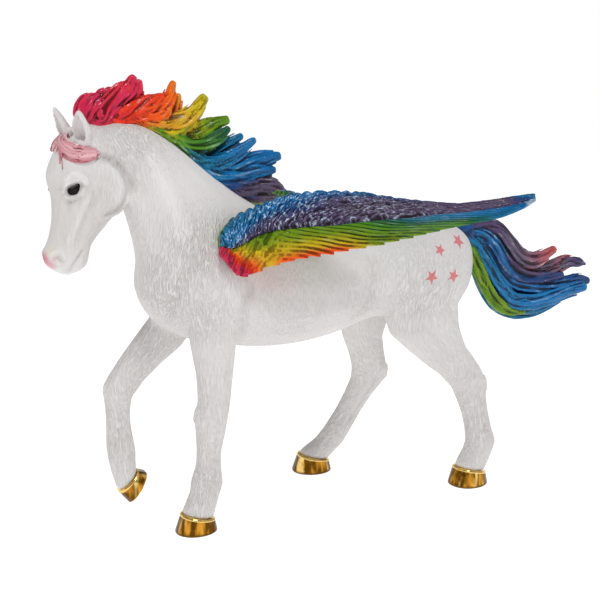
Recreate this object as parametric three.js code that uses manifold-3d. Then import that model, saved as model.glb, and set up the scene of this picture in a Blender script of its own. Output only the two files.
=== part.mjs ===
// Winged horse figurine: a walking horse with a flame-like mane, a swept tail and layered feather wings.
// Millimetres, +Z up. The nose points to -X, the horse's left side to -Y, and it stands on Z = 0.
// Every moulding is a closed skin drawn through egg-shaped sections, and it plugs into its neighbour.

import * as THREE from 'three';
import { mergeVertices } from 'three/addons/utils/BufferGeometryUtils.js';
import Module from 'manifold-3d';

const wasm = await Module();
wasm.setup();

// Fits
const GLUE_GAP = 0.3; // clearance between a piece and the piece it is glued to
const FINENESS = 0.05; // a skin may move by this much where its facets are merged
const CLOSE = 0.04; // corners nearer than this are one
const SKIN_SIDES = 16; // corners of a body section
const LEG_SIDES = 10;
const LOCK_SIDES = 6;
const FEATHER_SIDES = 4; // a feather is a ridged blade

// The casting. Each row is one section: upper x z, lower x z, middle y, half width.
const TRUNK = [
  [61.6, 70.0, 60.4, 64.5, 0, 3.6],
  [60.6, 74.2, 58.8, 58.0, 0, 8.2],
  [57.2, 77.8, 55.2, 52.4, 0, 11.6],
  [50.0, 80.3, 48.5, 49.2, 0, 13.9],
  [40.0, 81.5, 39.0, 49.4, 0, 14.9],
  [29.0, 80.6, 28.0, 51.8, 0, 13.9],
  [18.0, 79.5, 17.5, 48.8, 0, 14.2],
  [7.0, 80.3, 6.5, 46.6, 0, 14.9],
  [-1.5, 82.8, -5.0, 46.0, 0, 14.6],
  [-6.0, 85.0, -16.0, 47.2, 0, 14.0],
  [-8.6, 86.6, -25.5, 49.6, 0, 13.3],
  [-10.8, 88.0, -33.0, 53.0, 0, 12.6],
  [-12.8, 89.2, -38.0, 58.2, 0, 11.8],
  [-15.0, 90.8, -40.2, 64.2, 0, 10.9],
  [-17.4, 92.4, -39.5, 70.2, 0, 9.9],
  [-20.6, 94.9, -40.4, 76.6, 0, 8.8],
  [-25.4, 98.9, -42.0, 83.0, 0, 7.7],
  [-31.0, 103.3, -43.6, 88.2, 0, 6.8],
  [-37.0, 106.4, -45.8, 92.2, 0, 6.2],
  [-43.5, 107.6, -49.5, 95.2, 0, 5.6],
  [-49.5, 106.4, -53.5, 97.2, 0, 4.6],
];
const TRUNK_EGG = -0.12; // share by which a section is slimmer at the spine than at the belly
const TRUNK_SQUARE = 0.88; // under 1, a section is fuller at its corners than an ellipse
const HEAD = [
  [-54.8, 106.4, -47.0, 105.2, 0, 3.0],
  [-58.4, 103.0, -44.0, 101.5, 0, 5.3],
  [-61.2, 98.6, -42.0, 96.4, 0, 6.5],
  [-62.9, 94.2, -41.4, 91.4, 0, 6.9],
  [-61.9, 90.0, -42.6, 87.4, 0, 6.4],
  [-61.7, 86.0, -45.8, 83.7, 0, 5.5],
  [-62.3, 81.6, -49.6, 79.9, 0, 4.7],
  [-63.4, 78.2, -52.2, 77.0, 0, 4.3],
  [-64.8, 75.4, -53.0, 74.2, 0, 4.4],
  [-64.0, 72.6, -53.8, 71.8, 0, 4.2],
  [-61.4, 70.6, -56.6, 70.4, 0, 2.6],
];
const HEAD_TURN = 15; // degrees the head looks to its left
const HEAD_PIVOT_X = -46;
const CHEEK_AT = [-50.2, 90.6]; // middle of the round jaw plate
const CHEEK_RADIUS = 7.6;
const CHEEK_SWELL = 0.7; // how far the jaw plate stands proud of the head
const CHEEK_THICK = 1.7; // half thickness of the jaw plate
const EAR_LENGTH = 8.6;
const EAR_WIDTH = 5.4;
const EAR_THICK = 3.4;
const EAR_WALL = 1.0; // wall between the ear's cup and its edge
const EAR_TURN = 14; // degrees the cup looks inward
const EAR_BASE = [-54.8, 102.4]; // x and z of the ear roots
const EAR_SPREAD = 4.0; // half distance between the roots
const EAR_LEAN = 16; // degrees an ear tips forward
const EAR_SPLAY = 15; // degrees an ear tips outward
const EYE_AT = [-57.9, 91.4];
const EYE_LENGTH = 3.7;
const EYE_HEIGHT = 2.5;
const EYE_TILT = 36; // degrees the eye's front corner is lower than its back corner
const EYE_PROUD = 0.55; // how far the bead stands out of the head

// Legs: front x z, rear x z, middle y, half width, from the plug in the casting to the coronet.
const LEFT_FORELEG = [
  [-26.5, 61.0, -19.0, 60.0, -6.8, 3.4],
  [-28.8, 56.0, -16.2, 55.0, -7.6, 4.8],
  [-28.6, 50.5, -15.8, 49.5, -8.6, 5.1],
  [-27.4, 42.2, -17.4, 41.1, -9.8, 4.5],
  [-27.3, 35.0, -18.4, 34.0, -10.4, 3.9],
  [-28.4, 30.5, -19.4, 29.6, -10.7, 4.1],
  [-28.2, 26.3, -20.3, 25.4, -10.8, 3.7],
  [-28.0, 22.0, -21.4, 21.0, -10.9, 3.1],
  [-28.5, 17.5, -21.5, 16.7, -11.0, 3.1],
  [-29.8, 13.6, -21.0, 12.6, -11.0, 3.9],
  [-30.1, 10.6, -22.2, 9.2, -11.0, 3.7],
];
const RIGHT_FORELEG = [
  [-31.5, 60.0, -22.5, 58.0, 6.2, 3.4],
  [-35.0, 55.0, -21.5, 52.4, 7.0, 4.8],
  [-38.8, 49.6, -25.4, 46.4, 8.2, 4.8],
  [-43.2, 43.4, -30.8, 42.0, 9.3, 4.5],
  [-46.6, 38.0, -35.4, 37.6, 10.2, 4.1],
  [-47.2, 33.4, -39.2, 33.0, 10.7, 3.9],
  [-46.8, 29.0, -40.0, 29.0, 10.9, 3.4],
  [-46.8, 24.0, -39.8, 24.4, 11.1, 3.0],
  [-46.9, 19.0, -39.0, 19.8, 11.3, 3.1],
  [-46.4, 14.6, -38.6, 16.4, 11.4, 3.6],
  [-45.6, 10.8, -38.7, 13.4, 11.5, 3.5],
];
const LEFT_HIND_LEG = [
  [35.0, 64.0, 49.5, 64.0, -6.6, 3.6],
  [31.5, 59.0, 53.2, 58.5, -7.4, 5.9],
  [29.2, 53.5, 54.6, 53.0, -8.4, 6.5],
  [31.0, 47.5, 54.6, 47.2, -9.5, 6.1],
  [36.8, 42.3, 56.2, 42.0, -10.4, 5.3],
  [42.0, 38.0, 58.8, 38.6, -10.8, 4.6],
  [47.0, 34.3, 61.2, 35.2, -11.2, 4.0],
  [51.0, 30.2, 62.6, 31.4, -11.6, 3.7],
  [53.0, 26.0, 62.8, 27.0, -11.9, 3.4],
  [54.8, 21.5, 63.6, 22.0, -12.1, 3.0],
  [55.9, 16.8, 64.8, 17.0, -12.3, 3.0],
  [56.5, 13.2, 66.3, 12.4, -12.5, 3.7],
  [55.4, 10.2, 65.0, 8.8, -12.6, 3.7],
];
const RIGHT_HIND_LEG = [
  [27.0, 64.0, 42.0, 64.0, 6.6, 3.6],
  [24.5, 57.0, 42.0, 57.0, 7.4, 5.9],
  [24.2, 49.5, 40.0, 48.5, 8.4, 5.8],
  [25.6, 43.6, 38.8, 43.2, 9.2, 5.0],
  [28.3, 38.3, 40.2, 37.8, 10.4, 4.5],
  [30.2, 33.0, 42.2, 32.0, 11.6, 4.1],
  [30.2, 29.0, 42.2, 28.6, 12.6, 3.7],
  [28.4, 24.0, 37.8, 23.2, 13.6, 3.2],
  [25.8, 18.6, 34.2, 17.4, 14.6, 3.0],
  [22.4, 12.8, 31.2, 12.0, 15.6, 3.6],
  [20.0, 9.6, 29.4, 8.2, 16.6, 3.6],
];

// Hooves: one gold cap shape, set on four ankles.
const HOOF_LENGTH = 11.4;
const HOOF_WIDTH = 10.2;
const HOOF_TOE = 5.0; // height of the coronet at the toe
const HOOF_HEEL = 3.1;
const HOOF_TAPER = 0.88; // coronet size over sole size
const PEG_RADIUS = 1.8;
const HOOF_SLOPE = 0.09; // share of its length by which the coronet is set back over the sole
const CORONET_LEDGE = 0.6; // step from the gold cap in to the ankle
const PEG_LENGTH = 2.6; // how far an ankle peg reaches into its cap
const PEG_STUB = 2.2; // how far it reaches up into the ankle
const HOOVES = {
  left_fore_hoof: { at: [-28.7, -11.0, 0], pitch: 0, turn: 0, size: 1, leg: 'left_foreleg' },
  right_fore_hoof: { at: [-38.4, 11.5, 5.9], pitch: -57, turn: 0, size: 0.86, leg: 'right_foreleg' },
  left_hind_hoof: { at: [57.0, -12.7, 0], pitch: 0, turn: 10, size: 1.08, leg: 'left_hind_leg' },
  right_hind_hoof: { at: [19.0, 17.3, 0], pitch: 0, turn: -10, size: 1.08, leg: 'right_hind_leg' },
};

// Mane: locks rise from the crest, the upper edge of the neck. Each row is one lock: where it leaves the
// crest (share of its length from the poll), the tip's height over the crest, how far the tip is swept
// back, the tip's sideways place and the half width.
const CREST_ROWS = 8; // the crest starts at this row of the trunk
const MANE_ROOT_HEIGHT = 4.8; // half height of the root ridge
const MANE_ROOT_WIDTH = 2.1; // half width of the root ridge
const MANE_LIFT = 3.6; // ridge middle above the crest line
const RIB_DEPTH = 2.4; // how deep the rib sits in the crest groove
const RIB_WIDTH = 0.9; // half width of the rib
const LOCK_THICK = 2.2; // half thickness
const LOCK_TIP = 0.22; // half size of a lock's blunt tip
const LOCK_SWEEP = 0.11; // share of the crest by which a lock's root lies ahead of its tip's row
const MANE_LOCKS = [
  [0.04, 3.7, -4.1, -1, 2.4],
  [0.07, 6.9, -0.6, 1, 3.5],
  [0.13, 9.1, -1.7, -1.2, 3.9],
  [0.18, 11.3, -1.7, 0.6, 4],
  [0.23, 9.8, -3.1, -1.4, 3.8],
  [0.30, 9.1, -3.5, 1.2, 4.2],
  [0.34, 13.7, -4.1, -0.4, 3.9],
  [0.40, 11.7, -5.5, -1.6, 3.6],
  [0.46, 14.2, -4.3, 0.8, 4.2],
  [0.53, 14.0, -2.9, -1.6, 4.2],
  [0.58, 15.4, -1.7, 0.4, 4.2],
  [0.66, 14.1, -0.4, -1.6, 3.9],
  [0.71, 15.0, 1.1, 0.8, 3.4],
  [0.79, 13.8, 1.7, -1.6, 4.2],
  [0.84, 15.5, 3.1, 0.4, 4],
  [0.90, 10.8, 2.0, -1.4, 3.8],
  [0.95, 6.7, 4.1, 0.2, 3],
];

// Forelock strands over the brow: points x y z from the poll of the straight head, half width, and the
// way that faces out of the head.
const FORELOCK_SEAT = [-56.4, 0, 105.0];
const FORELOCK = [
  {
    path: [[1, 0, -0.8], [-1.6, -2.4, -2.8], [-0.4, -5, -5], [5, -6.4, -6.2]],
    wide: 2.2,
    out: [-0.3, -1, 0.2],
  },
  {
    path: [[1.2, -0.6, -0.6], [-0.8, -3.4, -2.4], [1.4, -5.4, -3.8], [6, -6, -4.4]],
    wide: 1.8,
    out: [-0.3, -1, 0.3],
  },
  {
    path: [[0.6, 0, -1], [-2, -1.8, -3.4], [-2.8, -4, -5.8], [-1.6, -5.4, -8]],
    wide: 1.3,
    out: [-1, -0.8, 0.2],
  },
  {
    path: [[0.6, 0.6, -1], [-2.2, 1.4, -3.4], [-3.4, 2.4, -5.4], [-3.8, 3, -7]],
    wide: 1.5,
    out: [-1, 0.5, 0.2],
  },
  {
    path: [[1, 0.8, -0.8], [-1, 3, -2.4], [0.4, 4.8, -3.8], [3.6, 5.8, -4.8]],
    wide: 1.6,
    out: [-0.3, 1, 0.2],
  },
];
const FORELOCK_THICK = 1.3;
const TUFT_SIZE = [2.0, 2.4, 1.4]; // half sizes of the knot that the strands leave
const FORELOCK_PEG_RADIUS = 1.5;
const FORELOCK_PEG_DEPTH = 3.0; // below the seat
const FORELOCK_PEG_STUB = 1.0; // how far it reaches up into the knot

// Tail: locks leave the dock and sweep back. Points x z from the dock, sideways tip y, half width.
const DOCK = [60.0, 75.2];
const TENON_RADIUS = 3.0;
const TENON_DEPTH = 6.0; // how far the tenon reaches into the rump
const TENON_STUB = 4.0; // how far it reaches out into the hair
const TAIL_THICK = 3.6;
const TAIL_LOCKS = [
  {
    y: -1.5,
    wide: 4.4,
    path: [[0, 0.4], [9, 0], [16.6, -4.8], [23, -10.2], [29, -11.4], [36.2, -7.4]],
  },
  {
    y: 1.5,
    wide: 4.4,
    path: [[0, 0], [10, -2.4], [17, -8.8], [24, -14], [32, -14.8], [39, -12.6], [47.4, -12.3]],
  },
  {
    y: -1.4,
    wide: 3.2,
    path: [[16, -8.2], [24, -14.4], [32, -14.6], [38, -12.6], [43.4, -10.6]],
  },
  {
    y: -2.2,
    wide: 4.2,
    path: [[0, -0.4], [9, -4.2], [16, -11.8], [23, -17.4], [32, -18.8], [41, -18], [49.4, -16.6]],
  },
  {
    y: 2.2,
    wide: 4.2,
    path: [[0, -0.8], [8.6, -5.6], [15, -13.4], [22, -20], [32, -22], [42, -21.2], [51.4, -19.6]],
  },
  {
    y: -0.6,
    wide: 4.6,
    path: [[0, -1.2], [7.6, -7], [13.4, -15], [20, -21.8], [29, -24.6], [38.6, -23.4], [47.6, -20.8]],
  },
  {
    y: 2.2,
    wide: 4.0,
    path: [[0, -1.4], [6.8, -7.6], [11.8, -15.8], [17.4, -22.2], [24, -25.2], [33, -24.8]],
  },
  {
    y: -1.6,
    wide: 3.0,
    path: [[0, -1.6], [5.8, -7.6], [9.4, -14.4], [12, -19.8], [15, -22.6]],
  },
];

// Wings: each row is a station along the left wing, measured from its seat in the shoulder: top edge
// x y z, low edge x y z.
const WING_SEAT = [-13.5, -13.0, 77.0];
const WING = [
  [-8.3, -1, 2.4, -8.6, -1.8, -3.0],
  [-4.1, 0.1, 6.6, -3.6, -2.6, -9.0],
  [4, -0.5, 9.9, 1.9, -6.8, -6.6],
  [10.8, -3, 11.9, 8.9, -13.6, -3.6],
  [18.5, -7, 12.7, 16.5, -19.6, -1.5],
  [26.6, -12, 12, 25.1, -25.6, 0.7],
  [35.8, -18, 10.1, 34.1, -29.6, 3],
  [45.4, -23.5, 9.4, 43.5, -32.4, 5],
  [54, -27.4, 10.4, 52.9, -34, 6.5],
  [60.5, -29.8, 11.5, 59.9, -34.2, 8.6],
  [65.5, -31.8, 12.2, 64.7, -33.2, 10.4],
];
const WING_ROOT_THICK = 2.9; // half thickness of the arm at the shoulder
const WING_TIP_THICK = 0.8;
const ARM_SHARE = 0.5; // share of the chord that the covert arm takes
const ROOT_PAD = 0.3; // share of the span over which the arm widens into the shoulder pad
const ROOT_PAD_SHARE = 0.4; // how much more of the chord the pad takes at the shoulder
const FLIGHT_FEATHERS = 16;
const FEATHER_WIDTH = 2.5; // half width
const FEATHER_THICK = 0.8; // half thickness
const FEATHER_LIFT = 0.3; // how far a feather's root lies over the wing's middle surface
const FEATHER_TILT = 14; // degrees each feather is turned over its neighbour
const COVERT_ROWS = 2;
const COVERTS = 8;
const COVERT_SPAN = 0.72; // share of the wing that the coverts reach along
const COVERT_SIZE = 2.1; // half width
const COVERT_THICK = 0.7;
const RIGHT_WING_DROOP = 4.5; // degrees
const TANG_RADIUS = 3.4;
const TANG_DEPTH = 5.5; // how far the tang reaches inward from the seat
const TANG_STUB = 1.5; // how far it reaches out into the wing

// Colours
const PAINT = {
  coat: { color: 0xe9e5df, roughness: 0.62, metalness: 0 },
  gold: { color: 0xc8963c, roughness: 0.18, metalness: 1 },
  mane: { color: 0xc93b3a, roughness: 0.25, metalness: 0 },
  forelock: { color: 0xe2a0aa, roughness: 0.4, metalness: 0 },
  tail: { color: 0x1f6fa8, roughness: 0.25, metalness: 0 },
  wing: { color: 0x4f4a8a, roughness: 0.3, metalness: 0 },
  eye: { color: 0x0c0b0c, roughness: 0.08, metalness: 0 },
};

const radians = THREE.MathUtils.degToRad;
const lerp = THREE.MathUtils.lerp;
const vector = (x, y, z) => new THREE.Vector3(x, y, z);

// Solids

function toSolid(geometry) {
  const bare = geometry.clone();
  bare.deleteAttribute('normal');
  bare.deleteAttribute('uv');
  const welded = mergeVertices(bare, 1e-5);
  const mesh = new wasm.Mesh({
    numProp: 3,
    vertProperties: new Float32Array(welded.attributes.position.array),
    triVerts: new Uint32Array(welded.index.array),
  });
  return new wasm.Manifold(mesh);
}

// Corners that a cut leaves closer than CLOSE become one, where that leaves the skin whole.
function joinCloseCorners({ vertProperties, triVerts }) {
  const at = (i) => vector().fromArray(vertProperties, 3 * i);
  let triangles = [];
  for (let i = 0; i < triVerts.length; i += 3) triangles.push([...triVerts.slice(i, i + 3)]);
  for (let joined = true; joined;) {
    const beside = new Map();
    triangles.flat().forEach((a) => beside.set(a, new Set()));
    triangles.forEach(([a, b, c]) => {
      beside.get(a).add(b).add(c);
      beside.get(b).add(c).add(a);
      beside.get(c).add(a).add(b);
    });
    const moved = new Map();
    const settled = new Set();
    beside.forEach((around, a) => around.forEach((b) => {
      if (a > b || settled.has(a) || settled.has(b) || at(a).distanceTo(at(b)) > CLOSE) return;
      if ([...around].filter((c) => beside.get(b).has(c)).length !== 2) return;
      moved.set(b, a);
      [a, b, ...around, ...beside.get(b)].forEach((c) => settled.add(c));
    }));
    triangles = triangles
      .map((corners) => corners.map((i) => moved.get(i) ?? i))
      .filter(([a, b, c]) => a !== b && b !== c && c !== a);
    joined = moved.size > 0;
  }
  return triangles.flat();
}

function toGeometry(solid) {
  const mesh = solid.asOriginal().simplify(FINENESS).getMesh();
  const geometry = new THREE.BufferGeometry();
  geometry.setAttribute('position', new THREE.BufferAttribute(new Float32Array(mesh.vertProperties), 3));
  geometry.setIndex(joinCloseCorners(mesh));
  return mergeVertices(geometry.toNonIndexed(), 1e-5);
}

function join(solids) {
  return solids.reduce((whole, next) => whole.add(next));
}

// A closed skin over rings of points, capped by a fan at each end and turned to face out.
function skinOf(rings, poles) {
  const around = rings[0].length;
  const positions = [];
  const index = [];
  rings.forEach((ring) => ring.forEach((point) => positions.push(point.x, point.y, point.z)));
  for (let i = 0; i < rings.length - 1; i += 1) {
    for (let j = 0; j < around; j += 1) {
      const a = i * around + j;
      const b = i * around + ((j + 1) % around);
      index.push(a, b, b + around, a, b + around, a + around);
    }
  }
  poles.forEach((pole, end) => {
    const centre = positions.length / 3;
    positions.push(pole.x, pole.y, pole.z);
    const first = end === 0 ? 0 : (rings.length - 1) * around;
    for (let j = 0; j < around; j += 1) {
      const a = first + j;
      const b = first + ((j + 1) % around);
      if (end === 0) index.push(centre, b, a);
      else index.push(centre, a, b);
    }
  });
  const geometry = new THREE.BufferGeometry();
  geometry.setAttribute('position', new THREE.Float32BufferAttribute(positions, 3));
  geometry.setIndex(index);
  if (volumeOf(geometry) < 0) geometry.index.array.reverse();
  return geometry;
}

function volumeOf(geometry) {
  const position = geometry.attributes.position;
  const index = geometry.index.array;
  const a = vector();
  const b = vector();
  const c = vector();
  let six = 0;
  for (let i = 0; i < index.length; i += 3) {
    a.fromBufferAttribute(position, index[i]);
    b.fromBufferAttribute(position, index[i + 1]);
    c.fromBufferAttribute(position, index[i + 2]);
    six += a.dot(b.cross(c));
  }
  return six / 6;
}

// Draws a smooth skin through sections { middle, reach, side }. Growing it makes the cutter of a socket.
function loft(sections, { around, between = 2, grow = 0, dome = 0.35, egg = 0, square = 1 }) {
  const corners = [];
  for (let j = 0; j < around; j += 1) {
    const turn = (j / around) * 2 * Math.PI;
    const swell = 1 + egg * Math.cos(turn);
    const up = Math.sign(Math.cos(turn)) * Math.abs(Math.cos(turn)) ** square;
    const out = Math.sign(Math.sin(turn)) * Math.abs(Math.sin(turn)) ** square;
    const through = sections.map(({ middle, reach, side }) => {
      const along = reach.clone().setLength(reach.length() + grow);
      const across = side.clone().setLength(side.length() * swell + grow);
      return middle.clone().addScaledVector(along, up).addScaledVector(across, out);
    });
    const rail = new THREE.CatmullRomCurve3(through, false, 'centripetal');
    const count = (sections.length - 1) * between;
    const points = [];
    for (let i = 0; i <= count; i += 1) points.push(rail.getPoint(i / count));
    corners.push(points);
  }
  const rings = corners[0].map((_, i) => corners.map((points) => points[i]));
  const poles = [0, rings.length - 1].map((at, end) => {
    const beside = end === 0 ? 1 : rings.length - 2;
    const centre = middleOf(rings[at]);
    const outward = centre.clone().sub(middleOf(rings[beside])).normalize();
    const radius = Math.min(sections[end === 0 ? 0 : sections.length - 1].reach.length(),
      sections[end === 0 ? 0 : sections.length - 1].side.length());
    return centre.addScaledVector(outward, radius * dome + grow);
  });
  return skinOf(rings, poles);
}

function middleOf(ring) {
  const sum = ring.reduce((total, point) => total.add(point), vector(0, 0, 0));
  return sum.divideScalar(ring.length);
}

// Rows of body sections, whose long axis lies in the XZ plane and whose short axis is Y.
function sectionsOf(rows) {
  return rows.map(([ax, az, bx, bz, y, half]) => ({
    middle: vector((ax + bx) / 2, y, (az + bz) / 2),
    reach: vector((ax - bx) / 2, 0, (az - bz) / 2),
    side: vector(0, half, 0),
  }));
}

// A tapered lock of hair, flat across the given direction, swelling after its root and ending in a point.
function lock(path, { wide, thick, across = vector(0, 1, 0), steps = 6, root = 0.85, taper = 2.4 }) {
  const spine = new THREE.CatmullRomCurve3(path, false, 'centripetal');
  const sections = [];
  for (let i = 0; i <= steps; i += 1) {
    const t = i / steps;
    const tangent = spine.getTangent(t);
    const side = across.clone().addScaledVector(tangent, -across.dot(tangent)).normalize();
    const reach = tangent.clone().cross(side).normalize();
    const fullness = (1 - t ** taper) ** 0.6 * lerp(root, 1, Math.min(t / 0.4, 1));
    sections.push({
      middle: spine.getPoint(t),
      reach: reach.multiplyScalar(Math.max(wide * fullness, LOCK_TIP)),
      side: side.multiplyScalar(Math.max(thick * fullness, LOCK_TIP)),
    });
  }
  return loft(sections, { around: LOCK_SIDES, between: 1, dome: 0.8 });
}

// A round peg from one point to another.
function peg(from, to, radius, sides = 14) {
  const length = from.distanceTo(to);
  const geometry = new THREE.CylinderGeometry(radius, radius, length, sides);
  const turn = new THREE.Quaternion().setFromUnitVectors(vector(0, 1, 0), to.clone().sub(from).normalize());
  geometry.applyQuaternion(turn);
  const middle = from.clone().add(to).multiplyScalar(0.5);
  return geometry.translate(middle.x, middle.y, middle.z);
}

// Head

const headTurn = new THREE.Matrix4()
  .makeTranslation(HEAD_PIVOT_X, 0, 0)
  .multiply(new THREE.Matrix4().makeRotationZ(radians(HEAD_TURN)))
  .multiply(new THREE.Matrix4().makeTranslation(-HEAD_PIVOT_X, 0, 0));

// How far the straight head reaches sideways at a point of its profile.
function headSide(x, z, geometry) {
  const ray = new THREE.Raycaster(vector(x, -50, z), vector(0, 1, 0));
  const skin = new THREE.Mesh(geometry, new THREE.MeshBasicMaterial({ side: THREE.DoubleSide }));
  return -ray.intersectObject(skin)[0].point.y;
}

// An ear stands on its root like a leaf: rise points up it, front out of its cup.
function earSections(side) {
  const foot = vector(EAR_BASE[0], side * EAR_SPREAD, EAR_BASE[1]);
  const rise = vector(0, 0, 1)
    .applyAxisAngle(vector(0, 1, 0), -radians(EAR_LEAN))
    .applyAxisAngle(vector(1, 0, 0), -side * radians(EAR_SPLAY));
  const front = vector(-1, 0, 0).applyAxisAngle(vector(0, 0, 1), -side * radians(EAR_TURN));
  const wideWay = rise.clone().cross(front).normalize();
  const sections = [
    [-0.12, 0.62, 1.15],
    [0.12, 0.86, 1.15],
    [0.36, 1.0, 1.0],
    [0.62, 0.78, 0.8],
    [0.85, 0.4, 0.6],
    [1.0, 0.1, 0.25],
  ].map(([t, wide, thick]) => ({
    middle: foot.clone().addScaledVector(rise, t * EAR_LENGTH),
    reach: wideWay.clone().multiplyScalar((wide * EAR_WIDTH) / 2),
    side: rise.clone().cross(wideWay).multiplyScalar((thick * EAR_THICK) / 2),
  }));
  return { sections, front };
}

function earSkin(side, grow) {
  return toSolid(loft(earSections(side).sections, { around: 10, between: 1, grow }));
}

function makeEar(side) {
  const { sections, front } = earSections(side);
  const cup = sections.slice(1, 5).map(({ middle, reach }) => ({
    middle: middle.clone().addScaledVector(front, EAR_THICK / 2),
    reach: reach.clone().setLength(Math.max(reach.length() - EAR_WALL, EAR_WALL / 4)),
    side: front.clone().multiplyScalar((EAR_THICK - EAR_WALL) * 0.6),
  }));
  return earSkin(side, 0).subtract(toSolid(loft(cup, { around: 8, between: 1 })));
}

const headSkin = loft(sectionsOf(HEAD), { around: SKIN_SIDES, between: 2 });
const cheekSide = headSide(CHEEK_AT[0], CHEEK_AT[1], headSkin);

function makeCheek(side, grow) {
  const plate = new THREE.SphereGeometry(1, 12, 6);
  plate.scale(CHEEK_RADIUS + grow, CHEEK_THICK + grow, CHEEK_RADIUS + grow);
  plate.translate(CHEEK_AT[0], side * (cheekSide + CHEEK_SWELL - CHEEK_THICK), CHEEK_AT[1]);
  return toSolid(plate);
}

function eyeSkin(side, grow) {
  const eye = new THREE.SphereGeometry(1, 10, 7);
  eye.scale(EYE_LENGTH / 2 + grow, EYE_HEIGHT / 2 + grow, EYE_HEIGHT / 2 + grow);
  eye.rotateY(-radians(EYE_TILT));
  const out = headSide(EYE_AT[0], EYE_AT[1], headSkin) + EYE_PROUD - EYE_HEIGHT / 2;
  eye.translate(EYE_AT[0], side * out, EYE_AT[1]);
  return eye.applyMatrix4(headTurn);
}

function makeHead() {
  const parts = [toSolid(headSkin)];
  [-1, 1].forEach((side) => parts.push(makeCheek(side, 0), makeEar(side)));
  return join(parts).transform(headTurn.elements);
}

// Casting without its sockets

function makeCasting(grow) {
  const shape = { around: SKIN_SIDES, between: 2, grow, egg: TRUNK_EGG, square: TRUNK_SQUARE };
  return toSolid(loft(sectionsOf(TRUNK), shape));
}

function makeHeadCutter() {
  const shape = { around: SKIN_SIDES, between: 2, grow: GLUE_GAP };
  const parts = [toSolid(loft(sectionsOf(HEAD), shape))];
  [-1, 1].forEach((side) => parts.push(makeCheek(side, GLUE_GAP), earSkin(side, GLUE_GAP)));
  return join(parts).transform(headTurn.elements);
}

// Hooves and legs

// Where a hoof stands: pitch tips its toe down, turn swings its toe outward.
function hoofFrame({ at, pitch, turn, size }) {
  return new THREE.Matrix4()
    .makeTranslation(...at)
    .multiply(new THREE.Matrix4().makeRotationZ(radians(turn)))
    .multiply(new THREE.Matrix4().makeRotationY(radians(pitch)))
    .multiply(new THREE.Matrix4().makeScale(size, size, size));
}

function hoofSkin(grow) {
  const sections = [
    [0, 1],
    [0.35, 0.965],
    [0.8, 0.905],
    [1, HOOF_TAPER],
  ].map(([up, size]) => {
    const back = HOOF_LENGTH * HOOF_SLOPE * up;
    const toe = (-HOOF_LENGTH / 2) * size + back;
    const heel = (HOOF_LENGTH / 2) * size;
    return {
      middle: vector((toe + heel) / 2, 0, (up * (HOOF_TOE + HOOF_HEEL)) / 2),
      reach: vector((toe - heel) / 2, 0, (up * (HOOF_TOE - HOOF_HEEL)) / 2),
      side: vector(0, (HOOF_WIDTH / 2) * size, 0),
    };
  });
  return loft(sections, { around: 14, between: 1, grow, dome: 0 });
}

function hoofPeg(grow) {
  const top = (HOOF_TOE + HOOF_HEEL) / 2;
  const middle = (HOOF_LENGTH * HOOF_SLOPE) / 2;
  return peg(
    vector(middle, 0, top - PEG_LENGTH - grow),
    vector(middle, 0, top + PEG_STUB + grow),
    PEG_RADIUS + grow,
  );
}

function makeHoof(place) {
  return toSolid(hoofSkin(0)).subtract(toSolid(hoofPeg(GLUE_GAP))).transform(hoofFrame(place).elements);
}

// The ankle ends on its hoof: one section just over the coronet and one inside the cap.
function ankleSections(place) {
  const frame = hoofFrame(place);
  const origin = vector(0, 0, 0).applyMatrix4(frame);
  const half = (HOOF_LENGTH / 2) * HOOF_TAPER - CORONET_LEDGE;
  const set = (HOOF_LENGTH * HOOF_SLOPE) / 2;
  return [1.1, 0.5].map((up) => ({
    middle: vector(set, 0, (up * (HOOF_TOE + HOOF_HEEL)) / 2).applyMatrix4(frame),
    reach: vector(-half, 0, (HOOF_TOE - HOOF_HEEL) / 2).applyMatrix4(frame).sub(origin),
    side: vector(0, (HOOF_WIDTH / 2) * HOOF_TAPER - CORONET_LEDGE, 0).applyMatrix4(frame).sub(origin),
  }));
}

function legSkin(rows, place, grow) {
  const sections = [...sectionsOf(rows), ...ankleSections(place)];
  return loft(sections, { around: LEG_SIDES, between: 1, grow });
}

function makeLeg(rows, place) {
  const frame = hoofFrame(place).elements;
  const leg = toSolid(legSkin(rows, place, 0));
  return leg.subtract(toSolid(hoofSkin(GLUE_GAP)).transform(frame)).add(toSolid(hoofPeg(0)).transform(frame));
}

// Mane

const crestRows = TRUNK.slice(CREST_ROWS).reverse();
const crest = new THREE.CatmullRomCurve3(crestRows.map(([x, z]) => vector(x, 0, z)), false, 'centripetal');

// A place on the crest, with the ways along it and out of it.
function crestAt(share) {
  const at = Math.min(Math.max(share, 0.02), 0.99);
  const back = crest.getTangentAt(at);
  return { point: crest.getPointAt(at), back, up: vector(-back.z, 0, back.x) };
}

function crestSections(height, width, lift) {
  const sections = [];
  const steps = 8;
  for (let i = 0; i <= steps; i += 1) {
    const { point, up } = crestAt(i / steps);
    const slim = Math.sin(Math.PI * lerp(0.16, 0.84, i / steps)) ** 0.5;
    sections.push({
      middle: point.addScaledVector(up, lift),
      reach: up.clone().multiplyScalar(height * slim),
      side: vector(0, width * slim, 0),
    });
  }
  return sections;
}

function maneLock([at, rise, swept, tipY, wide]) {
  const root = crestAt(at - LOCK_SWEEP).point;
  const { point, back, up } = crestAt(at);
  const tip = point.addScaledVector(up, rise).addScaledVector(back, swept);
  tip.y = tipY;
  const reach = root.distanceTo(tip);
  const belly = root.clone().lerp(tip, 0.38).addScaledVector(up, reach * 0.06);
  const hollow = root.clone().lerp(tip, 0.72).addScaledVector(up, -reach * 0.1);
  belly.y = tipY;
  hollow.y = tipY * 1.3;
  return lock([root, belly, hollow, tip], { wide, thick: LOCK_THICK, steps: 5 });
}

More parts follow.
